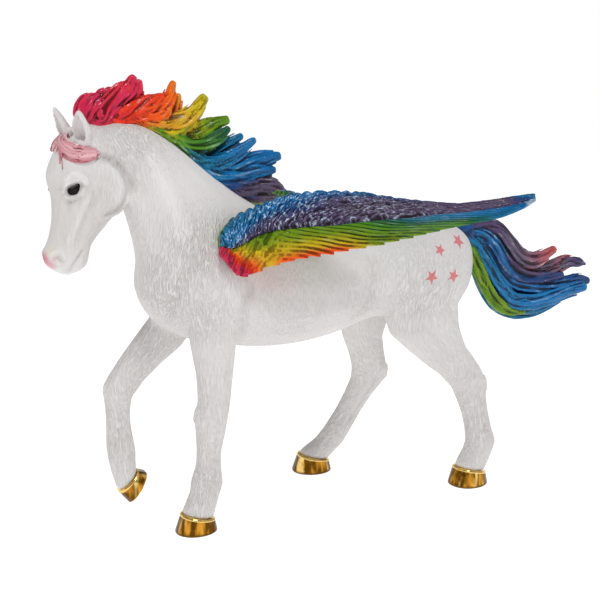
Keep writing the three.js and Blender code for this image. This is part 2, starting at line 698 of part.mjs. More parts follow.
function makeMane(cutter) {
  const ridgeSections = crestSections(MANE_ROOT_HEIGHT, MANE_ROOT_WIDTH, MANE_LIFT);
  const ridge = toSolid(loft(ridgeSections, { around: 8, between: 1 }));
  const hair = join([ridge, ...MANE_LOCKS.map((row) => toSolid(maneLock(row)))]);
  return hair.subtract(cutter).add(maneRib(0));
}

function maneRib(grow) {
  const sections = crestSections(RIB_DEPTH, RIB_WIDTH, 0);
  return toSolid(loft(sections, { around: 6, between: 1, grow }));
}

// Forelock

function makeForelock(cutter) {
  const seat = vector(...FORELOCK_SEAT);
  const strands = FORELOCK.map(({ path, wide, out }) => {
    const points = path.map((point) => vector(...point).add(seat));
    const across = vector(...out).normalize();
    return toSolid(lock(points, { wide, thick: FORELOCK_THICK, across, steps: 4, taper: 3 }));
  });
  const tuft = new THREE.SphereGeometry(1, 10, 6).scale(...TUFT_SIZE).translate(...FORELOCK_SEAT);
  const hair = join([toSolid(tuft), ...strands]).transform(headTurn.elements);
  return hair.subtract(cutter).add(forelockPeg(0));
}

function forelockPeg(grow) {
  const inward = vector(0.5, 0, -1).normalize();
  const seat = vector(...FORELOCK_SEAT);
  const top = seat.clone().addScaledVector(inward, -FORELOCK_PEG_STUB - grow);
  const foot = seat.clone().addScaledVector(inward, FORELOCK_PEG_DEPTH + grow);
  return toSolid(peg(foot, top, FORELOCK_PEG_RADIUS + grow, 10)).transform(headTurn.elements);
}

// Tail

function tailLock({ path, y, wide }) {
  const last = path.length - 1;
  const points = path.map(([x, z], i) => vector(DOCK[0] + x, (y * 1.6 * i) / last, DOCK[1] + z));
  return toSolid(lock(points, { wide, thick: TAIL_THICK, steps: 8, root: 0.8, taper: 3 }));
}

function tailTenon(grow) {
  const inner = vector(DOCK[0] - TENON_DEPTH - grow, 0, DOCK[1]);
  const outer = vector(DOCK[0] + TENON_STUB, 0, DOCK[1]);
  return toSolid(peg(inner, outer, TENON_RADIUS + grow, 12));
}

function makeTail(cutter) {
  return join(TAIL_LOCKS.map(tailLock)).subtract(cutter).add(tailTenon(0));
}

// Wings, drawn on the left side

const wingSeat = vector(...WING_SEAT);
const wingTop = new THREE.CatmullRomCurve3(WING.map((row) => vector(...row.slice(0, 3)).add(wingSeat)));
const wingLow = new THREE.CatmullRomCurve3(WING.map((row) => vector(...row.slice(3)).add(wingSeat)));

// A point of the wing's middle surface: t runs from shoulder to tip, v from the top edge to the low edge.
function wingPoint(t, v) {
  return wingTop.getPoint(t).lerp(wingLow.getPoint(t), v);
}

function wingOut(t) {
  const along = wingPoint(Math.min(t + 0.01, 1), 0.5).sub(wingPoint(Math.max(t - 0.01, 0), 0.5));
  const down = wingLow.getPoint(t).sub(wingTop.getPoint(t));
  const out = along.cross(down).normalize();
  return out.y < 0 ? out : out.negate();
}

function wingArm() {
  const sections = [];
  const steps = 10;
  for (let i = 0; i <= steps; i += 1) {
    const t = i / steps;
    const pad = ROOT_PAD_SHARE * Math.max(1 - t / ROOT_PAD, 0);
    const top = wingPoint(t, 0.02);
    const low = wingPoint(t, lerp(ARM_SHARE, 0.85, t * t) + pad);
    sections.push({
      middle: top.clone().lerp(low, 0.5),
      reach: top.clone().sub(low).multiplyScalar(0.5),
      side: wingOut(t).multiplyScalar(lerp(WING_ROOT_THICK, WING_TIP_THICK, t ** 0.7)),
    });
  }
  return toSolid(loft(sections, { around: 10, between: 1 }));
}

// A long feather from a root to a tip on the wing's surface, turned a little over its neighbour.
function feather(from, to, wide, thick, lift, steps) {
  const sections = [];
  for (let i = 0; i <= steps; i += 1) {
    const s = i / steps;
    const t = lerp(from[0], to[0], s);
    const v = lerp(from[1], to[1], s ** 0.8);
    const out = wingOut(t);
    const ahead = wingPoint(t + 0.01, v + 0.01 * (to[1] - from[1])).sub(wingPoint(t - 0.01, v));
    const wideWay = ahead.normalize().cross(out).applyAxisAngle(ahead, radians(FEATHER_TILT));
    const full = s < 0.85 ? 0.72 + 0.33 * s : 0.78;
    sections.push({
      middle: wingPoint(t, v).addScaledVector(out, lerp(lift, lift * 0.4, s)),
      reach: wideWay.multiplyScalar(wide * full),
      side: out.clone().applyAxisAngle(ahead, radians(FEATHER_TILT)).multiplyScalar(thick * lerp(1, 0.7, s)),
    });
  }
  return toSolid(loft(sections, { around: FEATHER_SIDES, between: 1, dome: 1.2 }));
}

function flightFeathers() {
  const feathers = [];
  for (let k = 0; k < FLIGHT_FEATHERS; k += 1) {
    const share = k / (FLIGHT_FEATHERS - 1);
    const tip = lerp(0.05, 1, share ** 1.2);
    const root = tip - lerp(0.05, 0.3, share);
    const narrow = lerp(1.5, 0.6, share);
    const from = [Math.max(root, 0.01), 0.42];
    feathers.push(feather(from, [tip, 0.93], FEATHER_WIDTH * narrow, FEATHER_THICK, FEATHER_LIFT, 3));
  }
  return feathers;
}

function coverts() {
  const scales = [];
  for (let row = 0; row < COVERT_ROWS; row += 1) {
    for (let k = 0; k < COVERTS - row; k += 1) {
      const t = 0.05 + ((k + 0.5 * row) * COVERT_SPAN) / COVERTS;
      const v = 0.03 + row * 0.17;
      const size = COVERT_SIZE * lerp(1, 0.62, t);
      const proud = lerp(WING_ROOT_THICK, WING_TIP_THICK, t ** 0.7) * [0.45, 0.9][row];
      scales.push(feather([t - 0.03, v], [t + 0.075, v + 0.05], size, COVERT_THICK, proud, 2));
    }
  }
  return scales;
}

function wingTang(grow) {
  const inner = wingSeat.clone().add(vector(0, TANG_DEPTH + grow, 0));
  const outer = wingSeat.clone().add(vector(0, -TANG_STUB, 0));
  return toSolid(peg(inner, outer, TANG_RADIUS + grow, 12));
}

function wingPlace(side) {
  const { x, z } = wingSeat;
  const droop = side < 0 ? 0 : radians(RIGHT_WING_DROOP);
  return new THREE.Matrix4()
    .makeTranslation(x, 0, z)
    .multiply(new THREE.Matrix4().makeRotationY(droop))
    .multiply(new THREE.Matrix4().makeScale(1, -side, 1))
    .multiply(new THREE.Matrix4().makeTranslation(-x, 0, -z));
}

function makeWing(side, cutter) {
  const place = wingPlace(side).elements;
  const plumage = join([wingArm(), ...flightFeathers(), ...coverts()]).transform(place);
  return plumage.subtract(cutter).add(wingTang(0).transform(place));
}

// Assembly

const casting = makeCasting(0);
const castingCutter = makeCasting(GLUE_GAP);
const legRows = {
  left_foreleg: LEFT_FORELEG,
  right_foreleg: RIGHT_FORELEG,
  left_hind_leg: LEFT_HIND_LEG,
  right_hind_leg: RIGHT_HIND_LEG,
};
const headCutter = makeHeadCutter();
const sockets = [
  ...Object.values(HOOVES).map((place) => toSolid(legSkin(legRows[place.leg], place, GLUE_GAP))),
  toSolid(eyeSkin(-1, GLUE_GAP)),
  toSolid(eyeSkin(1, GLUE_GAP)),
  maneRib(GLUE_GAP),
  forelockPeg(GLUE_GAP),
  tailTenon(GLUE_GAP),
  wingTang(GLUE_GAP),
  wingTang(GLUE_GAP).transform(wingPlace(1).elements),
];
const hollowCutter = castingCutter.add(headCutter);

const pieces = { body: [join([casting, makeHead()]).subtract(join(sockets)), PAINT.coat] };
Object.entries(HOOVES).forEach(([name, place]) => {
  pieces[place.leg] = [makeLeg(legRows[place.leg], place), PAINT.coat];
  pieces[name] = [makeHoof(place), PAINT.gold];
});
pieces.left_eye = [toSolid(eyeSkin(-1, 0)), PAINT.eye];
pieces.right_eye = [toSolid(eyeSkin(1, 0)), PAINT.eye];
pieces.mane = [makeMane(hollowCutter), PAINT.mane];
pieces.forelock = [makeForelock(hollowCutter), PAINT.forelock];
pieces.tail = [makeTail(castingCutter), PAINT.tail];
pieces.left_wing = [makeWing(-1, castingCutter), PAINT.wing];
pieces.right_wing = [makeWing(1, castingCutter), PAINT.wing];

const figurine = new THREE.Group();
Object.entries(pieces).forEach(([name, [solid, paint]]) => {
  const mesh = new THREE.Mesh(toGeometry(solid), new THREE.MeshStandardMaterial(paint));
  mesh.name = name;
  figurine.add(mesh);
});

// The origin goes under the middle of the whole figurine.
const box = new THREE.Box3().setFromObject(figurine);
figurine.position.set(-(box.min.x + box.max.x) / 2, -(box.min.y + box.max.y) / 2, -box.min.z);
figurine.updateMatrixWorld(true);

export default figurine;
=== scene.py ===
import math
import bpy
import numpy as np
import openvdb
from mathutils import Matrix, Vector


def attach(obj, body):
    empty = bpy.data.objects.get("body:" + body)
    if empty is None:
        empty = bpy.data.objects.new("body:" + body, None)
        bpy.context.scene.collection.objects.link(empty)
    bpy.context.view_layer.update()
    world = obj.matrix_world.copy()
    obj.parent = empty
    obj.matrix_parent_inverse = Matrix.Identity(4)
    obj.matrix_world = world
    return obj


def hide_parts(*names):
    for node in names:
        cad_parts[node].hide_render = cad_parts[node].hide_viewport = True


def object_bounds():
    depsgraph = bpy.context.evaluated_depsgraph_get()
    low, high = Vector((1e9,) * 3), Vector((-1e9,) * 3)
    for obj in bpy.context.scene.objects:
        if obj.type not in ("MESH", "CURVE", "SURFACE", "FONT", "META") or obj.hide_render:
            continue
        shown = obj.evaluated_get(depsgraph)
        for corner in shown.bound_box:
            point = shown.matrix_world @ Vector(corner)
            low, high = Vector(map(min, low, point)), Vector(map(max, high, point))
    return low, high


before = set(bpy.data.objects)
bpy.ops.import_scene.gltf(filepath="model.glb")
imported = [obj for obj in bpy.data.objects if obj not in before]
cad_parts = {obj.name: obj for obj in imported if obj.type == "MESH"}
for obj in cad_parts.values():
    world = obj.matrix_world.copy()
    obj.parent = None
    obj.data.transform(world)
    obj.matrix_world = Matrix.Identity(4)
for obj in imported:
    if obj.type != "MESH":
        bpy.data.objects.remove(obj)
cad_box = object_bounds()


# White casting: head, ears, neck and barrel of one figurine, moulded in vinyl with sockets for all that
# plugs into it, then sprayed matt white, with a grey wash rubbed into its hair strokes and pink blushes.
# It and the four legs are smoothed as one skin, because the paint runs over their joints.

MM = 0.001
GRAIN = 0.34  # spacing of the skin's corners; all sizes here are in millimetres
REACH = 4.2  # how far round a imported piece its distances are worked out
GLUE_SWELL = 0.22  # closes the gaps left for glue
SOCKET_DEPTH = 0.3  # of the filled eye sockets, under the beads
BARREL_SOFTNESS, SKIN_SOFTNESS = 1.7, 0.6
STROKE_DEPTH = 0.16  # of the hair strokes
PLUG_DEPTH = 1.6  # of the hollow behind each joint
LEGS = ("left_foreleg", "right_foreleg", "left_hind_leg", "right_hind_leg")


def surface_of(node):
    """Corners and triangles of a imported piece."""
    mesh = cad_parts[node].data
    corners = np.empty(3 * len(mesh.vertices), np.float32)
    mesh.vertices.foreach_get("co", corners)
    mesh.calc_loop_triangles()
    triangles = np.empty(3 * len(mesh.loop_triangles), np.int32)
    mesh.loop_triangles.foreach_get("vertices", triangles)
    return corners.reshape(-1, 3) / MM, triangles.reshape(-1, 3).astype(np.uint32)


class Block:
    """A block of evenly spaced points that shapes are filled into, as distances that are negative inside."""

    def __init__(self, low, high, step):
        self.step = step
        self.start = np.floor(np.array(low) / step).astype(int)
        self.shape = tuple(int(n) for n in np.ceil(np.array(high) / step).astype(int) - self.start + 1)

    def distance(self, node, reach=REACH):
        corners, triangles = surface_of(node)
        spacing = openvdb.createLinearTransform(voxelSize=self.step)
        grid = openvdb.FloatGrid.createLevelSetFromPolygons(
            corners, triangles=triangles, transform=spacing, halfWidth=reach / self.step)
        values = np.empty(self.shape, np.float32)
        grid.copyToArray(values, ijk=tuple(int(i) for i in self.start))
        return values

    def axes(self):
        return [(self.start[i] + np.arange(self.shape[i])) * self.step for i in range(3)]

    def at(self, values, points):
        """Values between the block's points, at other points."""
        place = np.clip(points / self.step - self.start, 0, np.array(self.shape) - 1.001)
        whole = place.astype(int)
        part = place - whole
        total = 0
        for corner in np.ndindex(2, 2, 2):
            weight = np.prod(np.where(corner, part, 1 - part), axis=1)
            total = total + weight * values[tuple((whole + corner).T)]
        return total

    def skin(self, values):
        """The closed skin where the values cross zero, as corners and four-sided faces that look outward."""
        grid = openvdb.FloatGrid(10.0)
        grid.copyFromArray(np.ascontiguousarray(values, np.float32), ijk=tuple(int(i) for i in self.start))
        grid.transform = openvdb.createLinearTransform(voxelSize=self.step)
        corners, faces = grid.convertToQuads(isovalue=0)
        faces = faces.astype(np.int64)
        a, b, c = (corners[faces[:, i]] for i in range(3))
        if np.einsum("ij,ij->i", a, np.cross(b, c)).sum() < 0:
            faces = faces[:, ::-1]
        return corners.astype(float), faces


def blurred(values, width, step):
    """Values averaged over a bell of this width along each axis."""
    reach = int(math.ceil(2.6 * width / step))
    bell = np.exp(-0.5 * (np.arange(-reach, reach + 1) * step / width) ** 2)
    bell /= bell.sum()
    for axis in range(3):
        pads = [(reach, reach) if i == axis else (0, 0) for i in range(3)]
        padded = np.pad(values, pads, mode="edge")
        total = np.zeros_like(values)
        for shift, weight in enumerate(bell):
            cut = [slice(None)] * 3
            cut[axis] = slice(shift, shift + values.shape[axis])
            total += np.float32(weight) * padded[tuple(cut)]
        values = total
    return values


def ramp(value, low, high):
    """0 below low and 1 above high, smooth between."""
    share = np.clip((value - low) / (high - low), 0, 1)
    return share * share * (3 - 2 * share)


def normals_of(corners, faces):
    """One outward direction for each corner."""
    across = np.cross(corners[faces[:, 2]] - corners[faces[:, 0]], corners[faces[:, -1]] - corners[faces[:, 1]])
    sums = np.stack([
        sum(np.bincount(faces[:, i], across[:, axis], len(corners)) for i in range(faces.shape[1]))
        for axis in range(3)], axis=1)
    return sums / np.maximum(np.linalg.norm(sums, axis=1, keepdims=True), 1e-12)


def relaxed(corners, faces, rounds, share=0.5):
    """Corners moved towards the middle of their neighbours, then half back, so that nothing shrinks."""
    for turn in range(2 * rounds):
        total = np.zeros_like(corners)
        count = np.zeros(len(corners))
        for i in range(4):
            near = corners[faces[:, i - 1]] + corners[faces[:, (i + 1) % 4]]
            for axis in range(3):
                total[:, axis] += np.bincount(faces[:, i], near[:, axis], len(corners))
            count += 2 * np.bincount(faces[:, i], minlength=len(corners))
        move = total / np.maximum(count, 1)[:, None] - corners
        corners = corners + (share if turn % 2 == 0 else -share * 1.04) * move
    return corners


def drift(points, cells, seed):
    """Smooth random values from -1 to 1, whose cells may be long one way."""
    place = points / np.array(cells)
    whole = np.floor(place).astype(np.int64)
    part = place - whole
    part = part * part * (3 - 2 * part)
    total = 0
    for corner in np.ndindex(2, 2, 2):
        i, j, k = (whole + corner).T
        mixed = (i * 73856093) ^ (j * 19349663) ^ (k * 83492791) ^ (seed * 2654435761)
        mixed = ((mixed ^ (mixed >> 13)) * 1274126177) & 0xFFFFFFFF
        mixed = (mixed ^ (mixed >> 16)) & 0xFFFF
        total = total + np.prod(np.where(corner, part, 1 - part), axis=1) * (mixed / 32767.5 - 1)
    return total


def near_line(points, line):
    """Each point's distance to a line of straight pieces."""
    line = np.array(line, float)
    best = np.full(len(points), 1e9)
    for a, b in zip(line[:-1], line[1:]):
        along = np.clip((points - a) @ (b - a) / max((b - a) @ (b - a), 1e-9), 0, 1)
        best = np.minimum(best, np.linalg.norm(points - a - along[:, None] * (b - a), axis=1))
    return best


def curve_through(points, count):
    """A smooth curve through points, as so many places."""
    points = np.array(points, float)
    padded = np.vstack([2 * points[0] - points[1], points, 2 * points[-1] - points[-2]])
    places = []
    for share in np.linspace(0, len(points) - 1, count):
        i = min(int(share), len(points) - 2)
        t = share - i
        a, b, c, d = padded[i:i + 4]
        places.append(0.5 * (2 * b + (c - a) * t + (2 * a - 5 * b + 4 * c - d) * t ** 2
                             + (3 * b - a - 3 * c + d) * t ** 3))
    return np.array(places)


HEAD_TURN = math.radians(15)
HEAD_PIVOT = (-69.7, 0.0)


def in_head(points, turn_back=False):
    """Places on the straight head moved to the turned head, or back."""
    points = np.array(points, float)
    turn = -HEAD_TURN if turn_back else HEAD_TURN
    x, y = points[:, 0] - HEAD_PIVOT[0], points[:, 1] - HEAD_PIVOT[1]
    return np.stack([HEAD_PIVOT[0] + x * math.cos(turn) - y * math.sin(turn),
                     HEAD_PIVOT[1] + x * math.sin(turn) + y * math.cos(turn), points[:, 2]], axis=1)


# Carved lines: how far the skin moves out or in, how wide, and the line's x and z. The head's lie on the
# straight head, on both sides; the others on both sides, the left or the right.
HEAD_CARVING = [
    (0.55, 0.8, [(-84.2, 92.4), (-83.4, 94.0), (-82.0, 94.8), (-80.4, 94.2), (-79.3, 92.8)]),  # brow
    (0.50, 0.42, [(-84.1, 90.6), (-83.6, 92.0), (-82.2, 93.1), (-80.6, 93.3), (-79.7, 92.4)]),  # upper lid
    (0.30, 0.36, [(-83.9, 89.6), (-82.4, 89.5), (-80.8, 90.3), (-79.8, 91.6)]),  # lower lid
    (-0.30, 0.45, [(-83.6, 88.5), (-82.0, 88.4), (-80.2, 89.3), (-79.1, 90.8)]),
    (-0.30, 0.40, [(-84.9, 91.2), (-84.2, 93.0)]),
    (0.45, 1.2, [(-79.4, 89.2), (-80.3, 85.6), (-81.8, 81.7), (-83.2, 78.4)]),  # cheekbone
    (-0.40, 1.3, [(-78.4, 86.0), (-79.8, 82.0), (-81.0, 78.4)]),
    (-0.32, 0.30, [(-78.0, 90.4), (-78.3, 88.5), (-78.8, 86.8)]),
    (-0.28, 0.26, [(-77.2, 89.0), (-77.6, 87.7), (-78.2, 86.8)]),
    (-0.9, 0.62, [(-86.5, 74.8), (-85.9, 73.8)]),  # nostril
    (0.40, 0.55, [(-87.4, 75.4), (-86.6, 76.3), (-85.3, 76.0), (-84.9, 74.6)]),
    (-0.60, 0.38, [(-84.6, 71.2), (-83.4, 71.7), (-82.3, 73.2), (-80.9, 74.8), (-80.0, 75.8)]),  # mouth
    (0.30, 0.6, [(-83.0, 70.6), (-81.4, 72.4), (-80.2, 73.8)]),
    (-0.20, 0.28, [(-82.9, 80.2), (-83.1, 77.2)]),
    (-0.20, 0.28, [(-84.3, 79.8), (-84.6, 77.6)]),
    (-0.20, 0.28, [(-81.7, 79.4), (-81.9, 76.8)]),
    (-1.15, 0.85, [(-76.2, 99.2), (-72.7, 98.1), (-70.1, 96.1), (-68.4, 93.4), (-67.6, 90.8), (-68.6, 87.9),
                   (-71.0, 85.7), (-74.0, 84.3)]),  # groove round the jaw
    (0.45, 1.3, [(-73.6, 96.4), (-71.4, 94.2), (-70.4, 91.0), (-71.4, 88.2)]),
]
BOTH_CARVING = [
    (-1.0, 1.4, [(-38.0, 69.0), (-37.4, 65.6), (-38.4, 61.7), (-39.1, 56.9), (-39.3, 52.6)]),  # elbow
    (-0.7, 1.9, [(-49.0, 74.0), (-53.4, 69.0), (-56.4, 63.4), (-56.8, 57.6)]),  # shoulder
    (-1.0, 2.0, [(-0.9, 70.4), (-0.4, 64.4), (-0.8, 60.2), (-2.6, 56.0), (-5.0, 53.4)]),  # flank
    (0.6, 2.6, [(-60.6, 98.0), (-56.4, 88.0), (-54.0, 80.0)]),  # neck
    (-0.6, 2.2, [(-64.0, 92.0), (-61.0, 83.0), (-58.6, 76.0)]),
]
LEFT_CARVING = [
    (-0.6, 1.5, [(24.0, 62.0), (25.0, 56.0), (28.6, 49.6)]),  # thigh
    (0.45, 1.0, [(-51.8, 32.6), (-51.9, 30.4)]),  # knee
    (-0.35, 0.6, [(-47.2, 27.0), (-47.8, 14.6)]),
    (-0.3, 0.7, [(-48.4, 50.0), (-47.2, 37.0)]),
    (0.6, 1.0, [(38.2, 32.0), (38.9, 28.6)]),  # hock
    (-0.55, 0.8, [(35.0, 30.8), (36.2, 24.0), (37.6, 17.0)]),
    (-0.4, 1.0, [(19.0, 47.6), (26.6, 40.2), (33.2, 34.4)]),
]
RIGHT_CARVING = [
    (-0.6, 1.5, [(14.6, 62.0), (14.2, 53.0)]),
    (0.45, 1.0, [(-70.6, 36.4), (-70.9, 34.4)]),
    (-0.35, 0.6, [(-66.6, 30.0), (-66.4, 20.0)]),
    (0.6, 1.0, [(18.4, 32.6), (18.2, 29.2)]),
    (-0.55, 0.8, [(13.0, 29.6), (10.0, 23.0), (6.0, 16.4)]),
]

EAR_FOOT = (-78.5, 4.0, 102.4)
EAR_LEAN, EAR_SPLAY, EAR_TURN = math.radians(16), math.radians(15), math.radians(14)
EAR_SHAPE = [(-0.2, 0.40, 1.0), (0.0, 0.66, 1.0), (0.2, 0.92, 0.98), (0.42, 1.0, 0.9), (0.65, 0.80, 0.72),
             (0.85, 0.44, 0.5), (1.0, 0.13, 0.28), (1.05, 0.0, 0.0)]  # height, width and depth
EAR_SIZES = {-1: (7.7, 3.0, 1.8), 1: (8.6, 2.75, 1.75)}  # height, half width and half depth of left and right


def ear_places(points, side):
    """How far up the ear, across it and to its front each point lies."""
    straight = in_head(points, turn_back=True)
    away = straight - np.array([EAR_FOOT[0], side * EAR_FOOT[1], EAR_FOOT[2]])
    rise = np.array([-math.sin(EAR_LEAN), side * math.sin(EAR_SPLAY) * math.cos(EAR_LEAN),
                     math.cos(EAR_LEAN) * math.cos(EAR_SPLAY)])
    rise /= np.linalg.norm(rise)
    front = np.array([-math.cos(EAR_TURN), side * math.sin(EAR_TURN), 0])
    front -= rise * (front @ rise)
    front /= np.linalg.norm(front)
    wide = np.cross(rise, front)
    return away @ rise, away @ wide, away @ front


def ear_shells(points, side):
    """Distances to an ear's leaf and to the cup in its front."""
    up, across, ahead = ear_places(points, side)
    size = EAR_SIZES[side]
    height, width, depth = (np.array(column) for column in zip(*EAR_SHAPE))
    share = up / size[0]
    wide = np.maximum(np.interp(share, height, width, 0.3, 0.0), 0.02) * size[1]
    deep = np.maximum(np.interp(share, height, depth, 0.9, 0.0), 0.02) * size[2]
    reach = np.sqrt((across / wide) ** 2 + (ahead / deep) ** 2)
    leaf = (reach - 1) * np.minimum(wide, deep)
    leaf = np.where(share > 1.05, np.maximum(leaf, (share - 1.05) * size[0]), leaf)
    leaf = np.where(share < -0.2, np.maximum(leaf, (-0.2 - share) * size[0]), leaf)
    inner_wide = np.maximum(wide - 0.75, 0.02)
    inner_deep = deep * 1.25
    cup = (np.sqrt((across / inner_wide) ** 2 + ((ahead - deep * 0.95) / inner_deep) ** 2) - 1) \
        * np.minimum(inner_wide, inner_deep)
    cup = np.maximum(cup, np.maximum((0.12 - share), (share - 0.93)) * size[0])
    return leaf, cup


white = Block((-91, -26, -1), (45, 26, 115), GRAIN)
body_gap = white.distance("body")
leg_gaps = {leg: white.distance(leg) for leg in LEGS}
eye_fill = np.minimum(white.distance("left_eye"), white.distance("right_eye")) + SOCKET_DEPTH
sizes_x, sizes_y, sizes_z = (axis.astype(np.float32) for axis in white.axes())

joined = body_gap.copy()
for gap in leg_gaps.values():
    joined = np.minimum(joined, gap)
joined = np.minimum(joined, eye_fill)
joined -= np.float32(GLUE_SWELL)
broad = blurred(joined, BARREL_SOFTNESS, GRAIN)
fine = blurred(joined, SKIN_SOFTNESS, GRAIN)
barrel = (ramp(sizes_z, 50, 58) * (1 - ramp(sizes_z, 84, 92)))[None, :] * ramp(sizes_x, -66, -58)[:, None]
barrel = barrel[:, None, :].astype(np.float32)
whole = fine * (1 - barrel) + broad * barrel + np.float32(0.13) - np.float32(0.12) * barrel
del broad, fine, joined

# The ears are cut crisper than the rest.
poll = [slice(int(np.searchsorted(axis, low)), int(np.searchsorted(axis, high)))
        for axis, low, high in ((sizes_x, -90, -66), (sizes_y, -14, 12), (sizes_z, 99, 113))]
ear_points = np.stack(np.meshgrid(sizes_x[poll[0]], sizes_y[poll[1]], sizes_z[poll[2]], indexing="ij"), -1)
patch = whole[tuple(poll)]
for side in (-1, 1):
    leaf, cup = (values.reshape(patch.shape) for values in ear_shells(ear_points.reshape(-1, 3), side))
    patch = np.maximum(np.minimum(patch, leaf), -cup)
whole[tuple(poll)] = patch
corners, faces = white.skin(whole)
corners = relaxed(corners, faces, 4)
outward = normals_of(corners, faces)


def carve(corners, outward, profile, sides, lines):
    """Moves the skin out or in along lines that are drawn on its profile."""
    moved = np.zeros(len(corners))
    for depth, width, line in lines:
        line = curve_through(line, 6 * len(line))
        near = np.all((profile > line.min(0) - 3 * width) & (profile < line.max(0) + 3 * width), axis=1)
        near &= sides
        moved[near] += depth * np.exp(-(near_line(profile[near], line) / width) ** 2)
    return corners + outward * moved[:, None], moved


straight = in_head(corners, turn_back=True)
on_side = np.abs(outward @ np.array([math.sin(HEAD_TURN), -math.cos(HEAD_TURN), 0])) > 0.25
corners, carved = carve(corners, outward, straight[:, [0, 2]], on_side & (straight[:, 0] < -66), HEAD_CARVING)
for sides, lines in ((np.abs(outward[:, 1]) > 0.3, BOTH_CARVING), (corners[:, 1] < -2, LEFT_CARVING),
                     (corners[:, 1] > 2, RIGHT_CARVING)):
    corners, more = carve(corners, outward, corners[:, [0, 2]], sides, lines)
    carved += more

def nearness(points, centre, width):
    """1 at a centre and less further off, along a bell of this width."""
    return np.exp(-0.5 * ((points - np.array(centre)) ** 2).sum(1) / width ** 2)


def turned(points, first, second, angle):
    """Points turned by an angle from one axis towards another."""
    one, two = points[..., first], points[..., second]
    points = points.copy()
    points[..., first], points[..., second] = (
        one * math.cos(angle) - two * math.sin(angle), one * math.sin(angle) + two * math.cos(angle))
    return points


# The hair lies along guides: a place, how wide it counts, and the tilt of the strokes there, in degrees.
COMB = [
    ((-80, -3, 88), 9, 24), ((-62, 0, 96), 9, -30), ((-56, 0, 84), 9, -6), ((-48, 0, 64), 12, 2),
    ((-20, 0, 64), 14, -6), ((14, 0, 64), 12, 6), ((-48, -10, 30), 12, 6), ((-60, 9, 46), 8, 42),
    ((-66, 11, 24), 9, -4), ((24, -10, 44), 8, -42), ((36, -12, 22), 8, -8), ((8, 9, 44), 8, -14),
    ((10, 14, 22), 9, 40),
]
combed = np.zeros_like(corners)
weights = np.zeros(len(corners))
for centre, width, tilt in COMB:
    away = corners - np.array(centre)
    weight = nearness(corners, centre, width) + 1e-9
    combed += weight[:, None] * (turned(away, 0, 2, math.radians(tilt)) + np.array(centre))
    weights += weight
combed /= weights[:, None]
combed += 0.2 * np.stack([drift(corners, (5, 5, 7), seed) for seed in (1, 2, 3)], axis=1)

# Where the strokes are deep: a place, how wide it counts, and how strong they are.
STROKES = [
    ((-64, -4, 103), 8, 0.9), ((-66, -6, 76), 8, 0.5), ((-58, -9, 66), 9, 1.0), ((-49, -11, 74), 9, 1.0),
    ((-50, -12, 58), 8, 0.8), ((-26, -13, 54), 13, 0.45), ((-2, -13, 60), 9, 0.6), ((16, -12, 62), 13, 0.8),
    ((28, -10, 66), 9, 0.7), ((-48, -10, 34), 14, 0.6), ((26, -10, 40), 12, 0.6), ((-60, 9, 44), 14, 0.8),
    ((-26, 13, 56), 14, 0.8), ((16, 12, 62), 13, 1.0), ((-50, 12, 62), 12, 1.0), ((-40, 11, 82), 10, 0.5),
    ((12, 10, 36), 14, 0.7), ((-72, -7, 92), 6, 0.35), ((35, -12, 18), 11, 0.9), ((-50, -11, 14), 12, 0.9),
    ((-66, 11, 22), 12, 0.8), ((2, 15, 14), 10, 0.7),
]
fur = np.zeros(len(corners))
for centre, width, strength in STROKES:
    fur = np.maximum(fur, strength * nearness(corners, centre, width))
fur = np.clip(fur + 0.12, 0, 1)
clumps = drift(combed, (1.0, 1.0, 4.6), 11) + 0.6 * drift(combed, (0.62, 0.62, 3.0), 12)
grooves = np.maximum(clumps - 0.15, 0)
corners = corners - outward * (STROKE_DEPTH * fur * grooves)[:, None]
corners[:, 2] = np.maximum(corners[:, 2], 0)
outward = normals_of(corners, faces)

# What stands proud is painted lighter, as wash rubbed off and as painted highlight; the carved hollows get more
# grey, as wash and as painted shade.
proud = np.clip((carved - 0.15) * 2.2, 0, 1)
hollow = np.clip((-carved - 0.25) * 0.7, 0, 1)
ear_cup = np.zeros(len(corners))
poll = corners[:, 2] > 100
for side in (-1, 1):
    ear_cup[poll] = np.maximum(ear_cup[poll], ramp(-ear_shells(corners[poll], side)[1], -0.35, 0.15))


def mesh_of(name, corners, faces, attributes, outward=None):
    """A smooth mesh in metres. Faces are rows of three or four corners, and attributes have a value a corner."""
    mesh = bpy.data.meshes.new(name)
    counts = np.concatenate([np.full(len(rows), rows.shape[1]) for rows in faces])
    loops = np.concatenate([rows.ravel() for rows in faces]).astype(np.int32)
    mesh.vertices.add(len(corners))
    mesh.loops.add(len(loops))
    mesh.polygons.add(len(counts))
    mesh.vertices.foreach_set("co", (corners * MM).astype(np.float32).ravel())
    mesh.loops.foreach_set("vertex_index", loops)
    mesh.polygons.foreach_set("loop_start", np.concatenate([[0], np.cumsum(counts)[:-1]]).astype(np.int32))
    mesh.update(calc_edges=True)
    mesh.validate()
    mesh.shade_smooth()
    for key, values in attributes.items():
        values = np.asarray(values, np.float32)
        kind = "FLOAT_VECTOR" if values.ndim == 2 else "FLOAT"
        mesh.attributes.new(key, kind, "POINT").data.foreach_set(
            "vector" if values.ndim == 2 else "value", values.ravel())
    if outward is not None:
        mesh.normals_split_custom_set_from_vertices(outward)
    return mesh


def add_piece(name, mesh, material, node):
    """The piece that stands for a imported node, riding with the figurine."""
    mesh.materials.append(material)
    piece = bpy.data.objects.new(name, mesh)
    bpy.context.scene.collection.objects.link(piece)
    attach(piece, "root")
    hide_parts(node)
    return piece


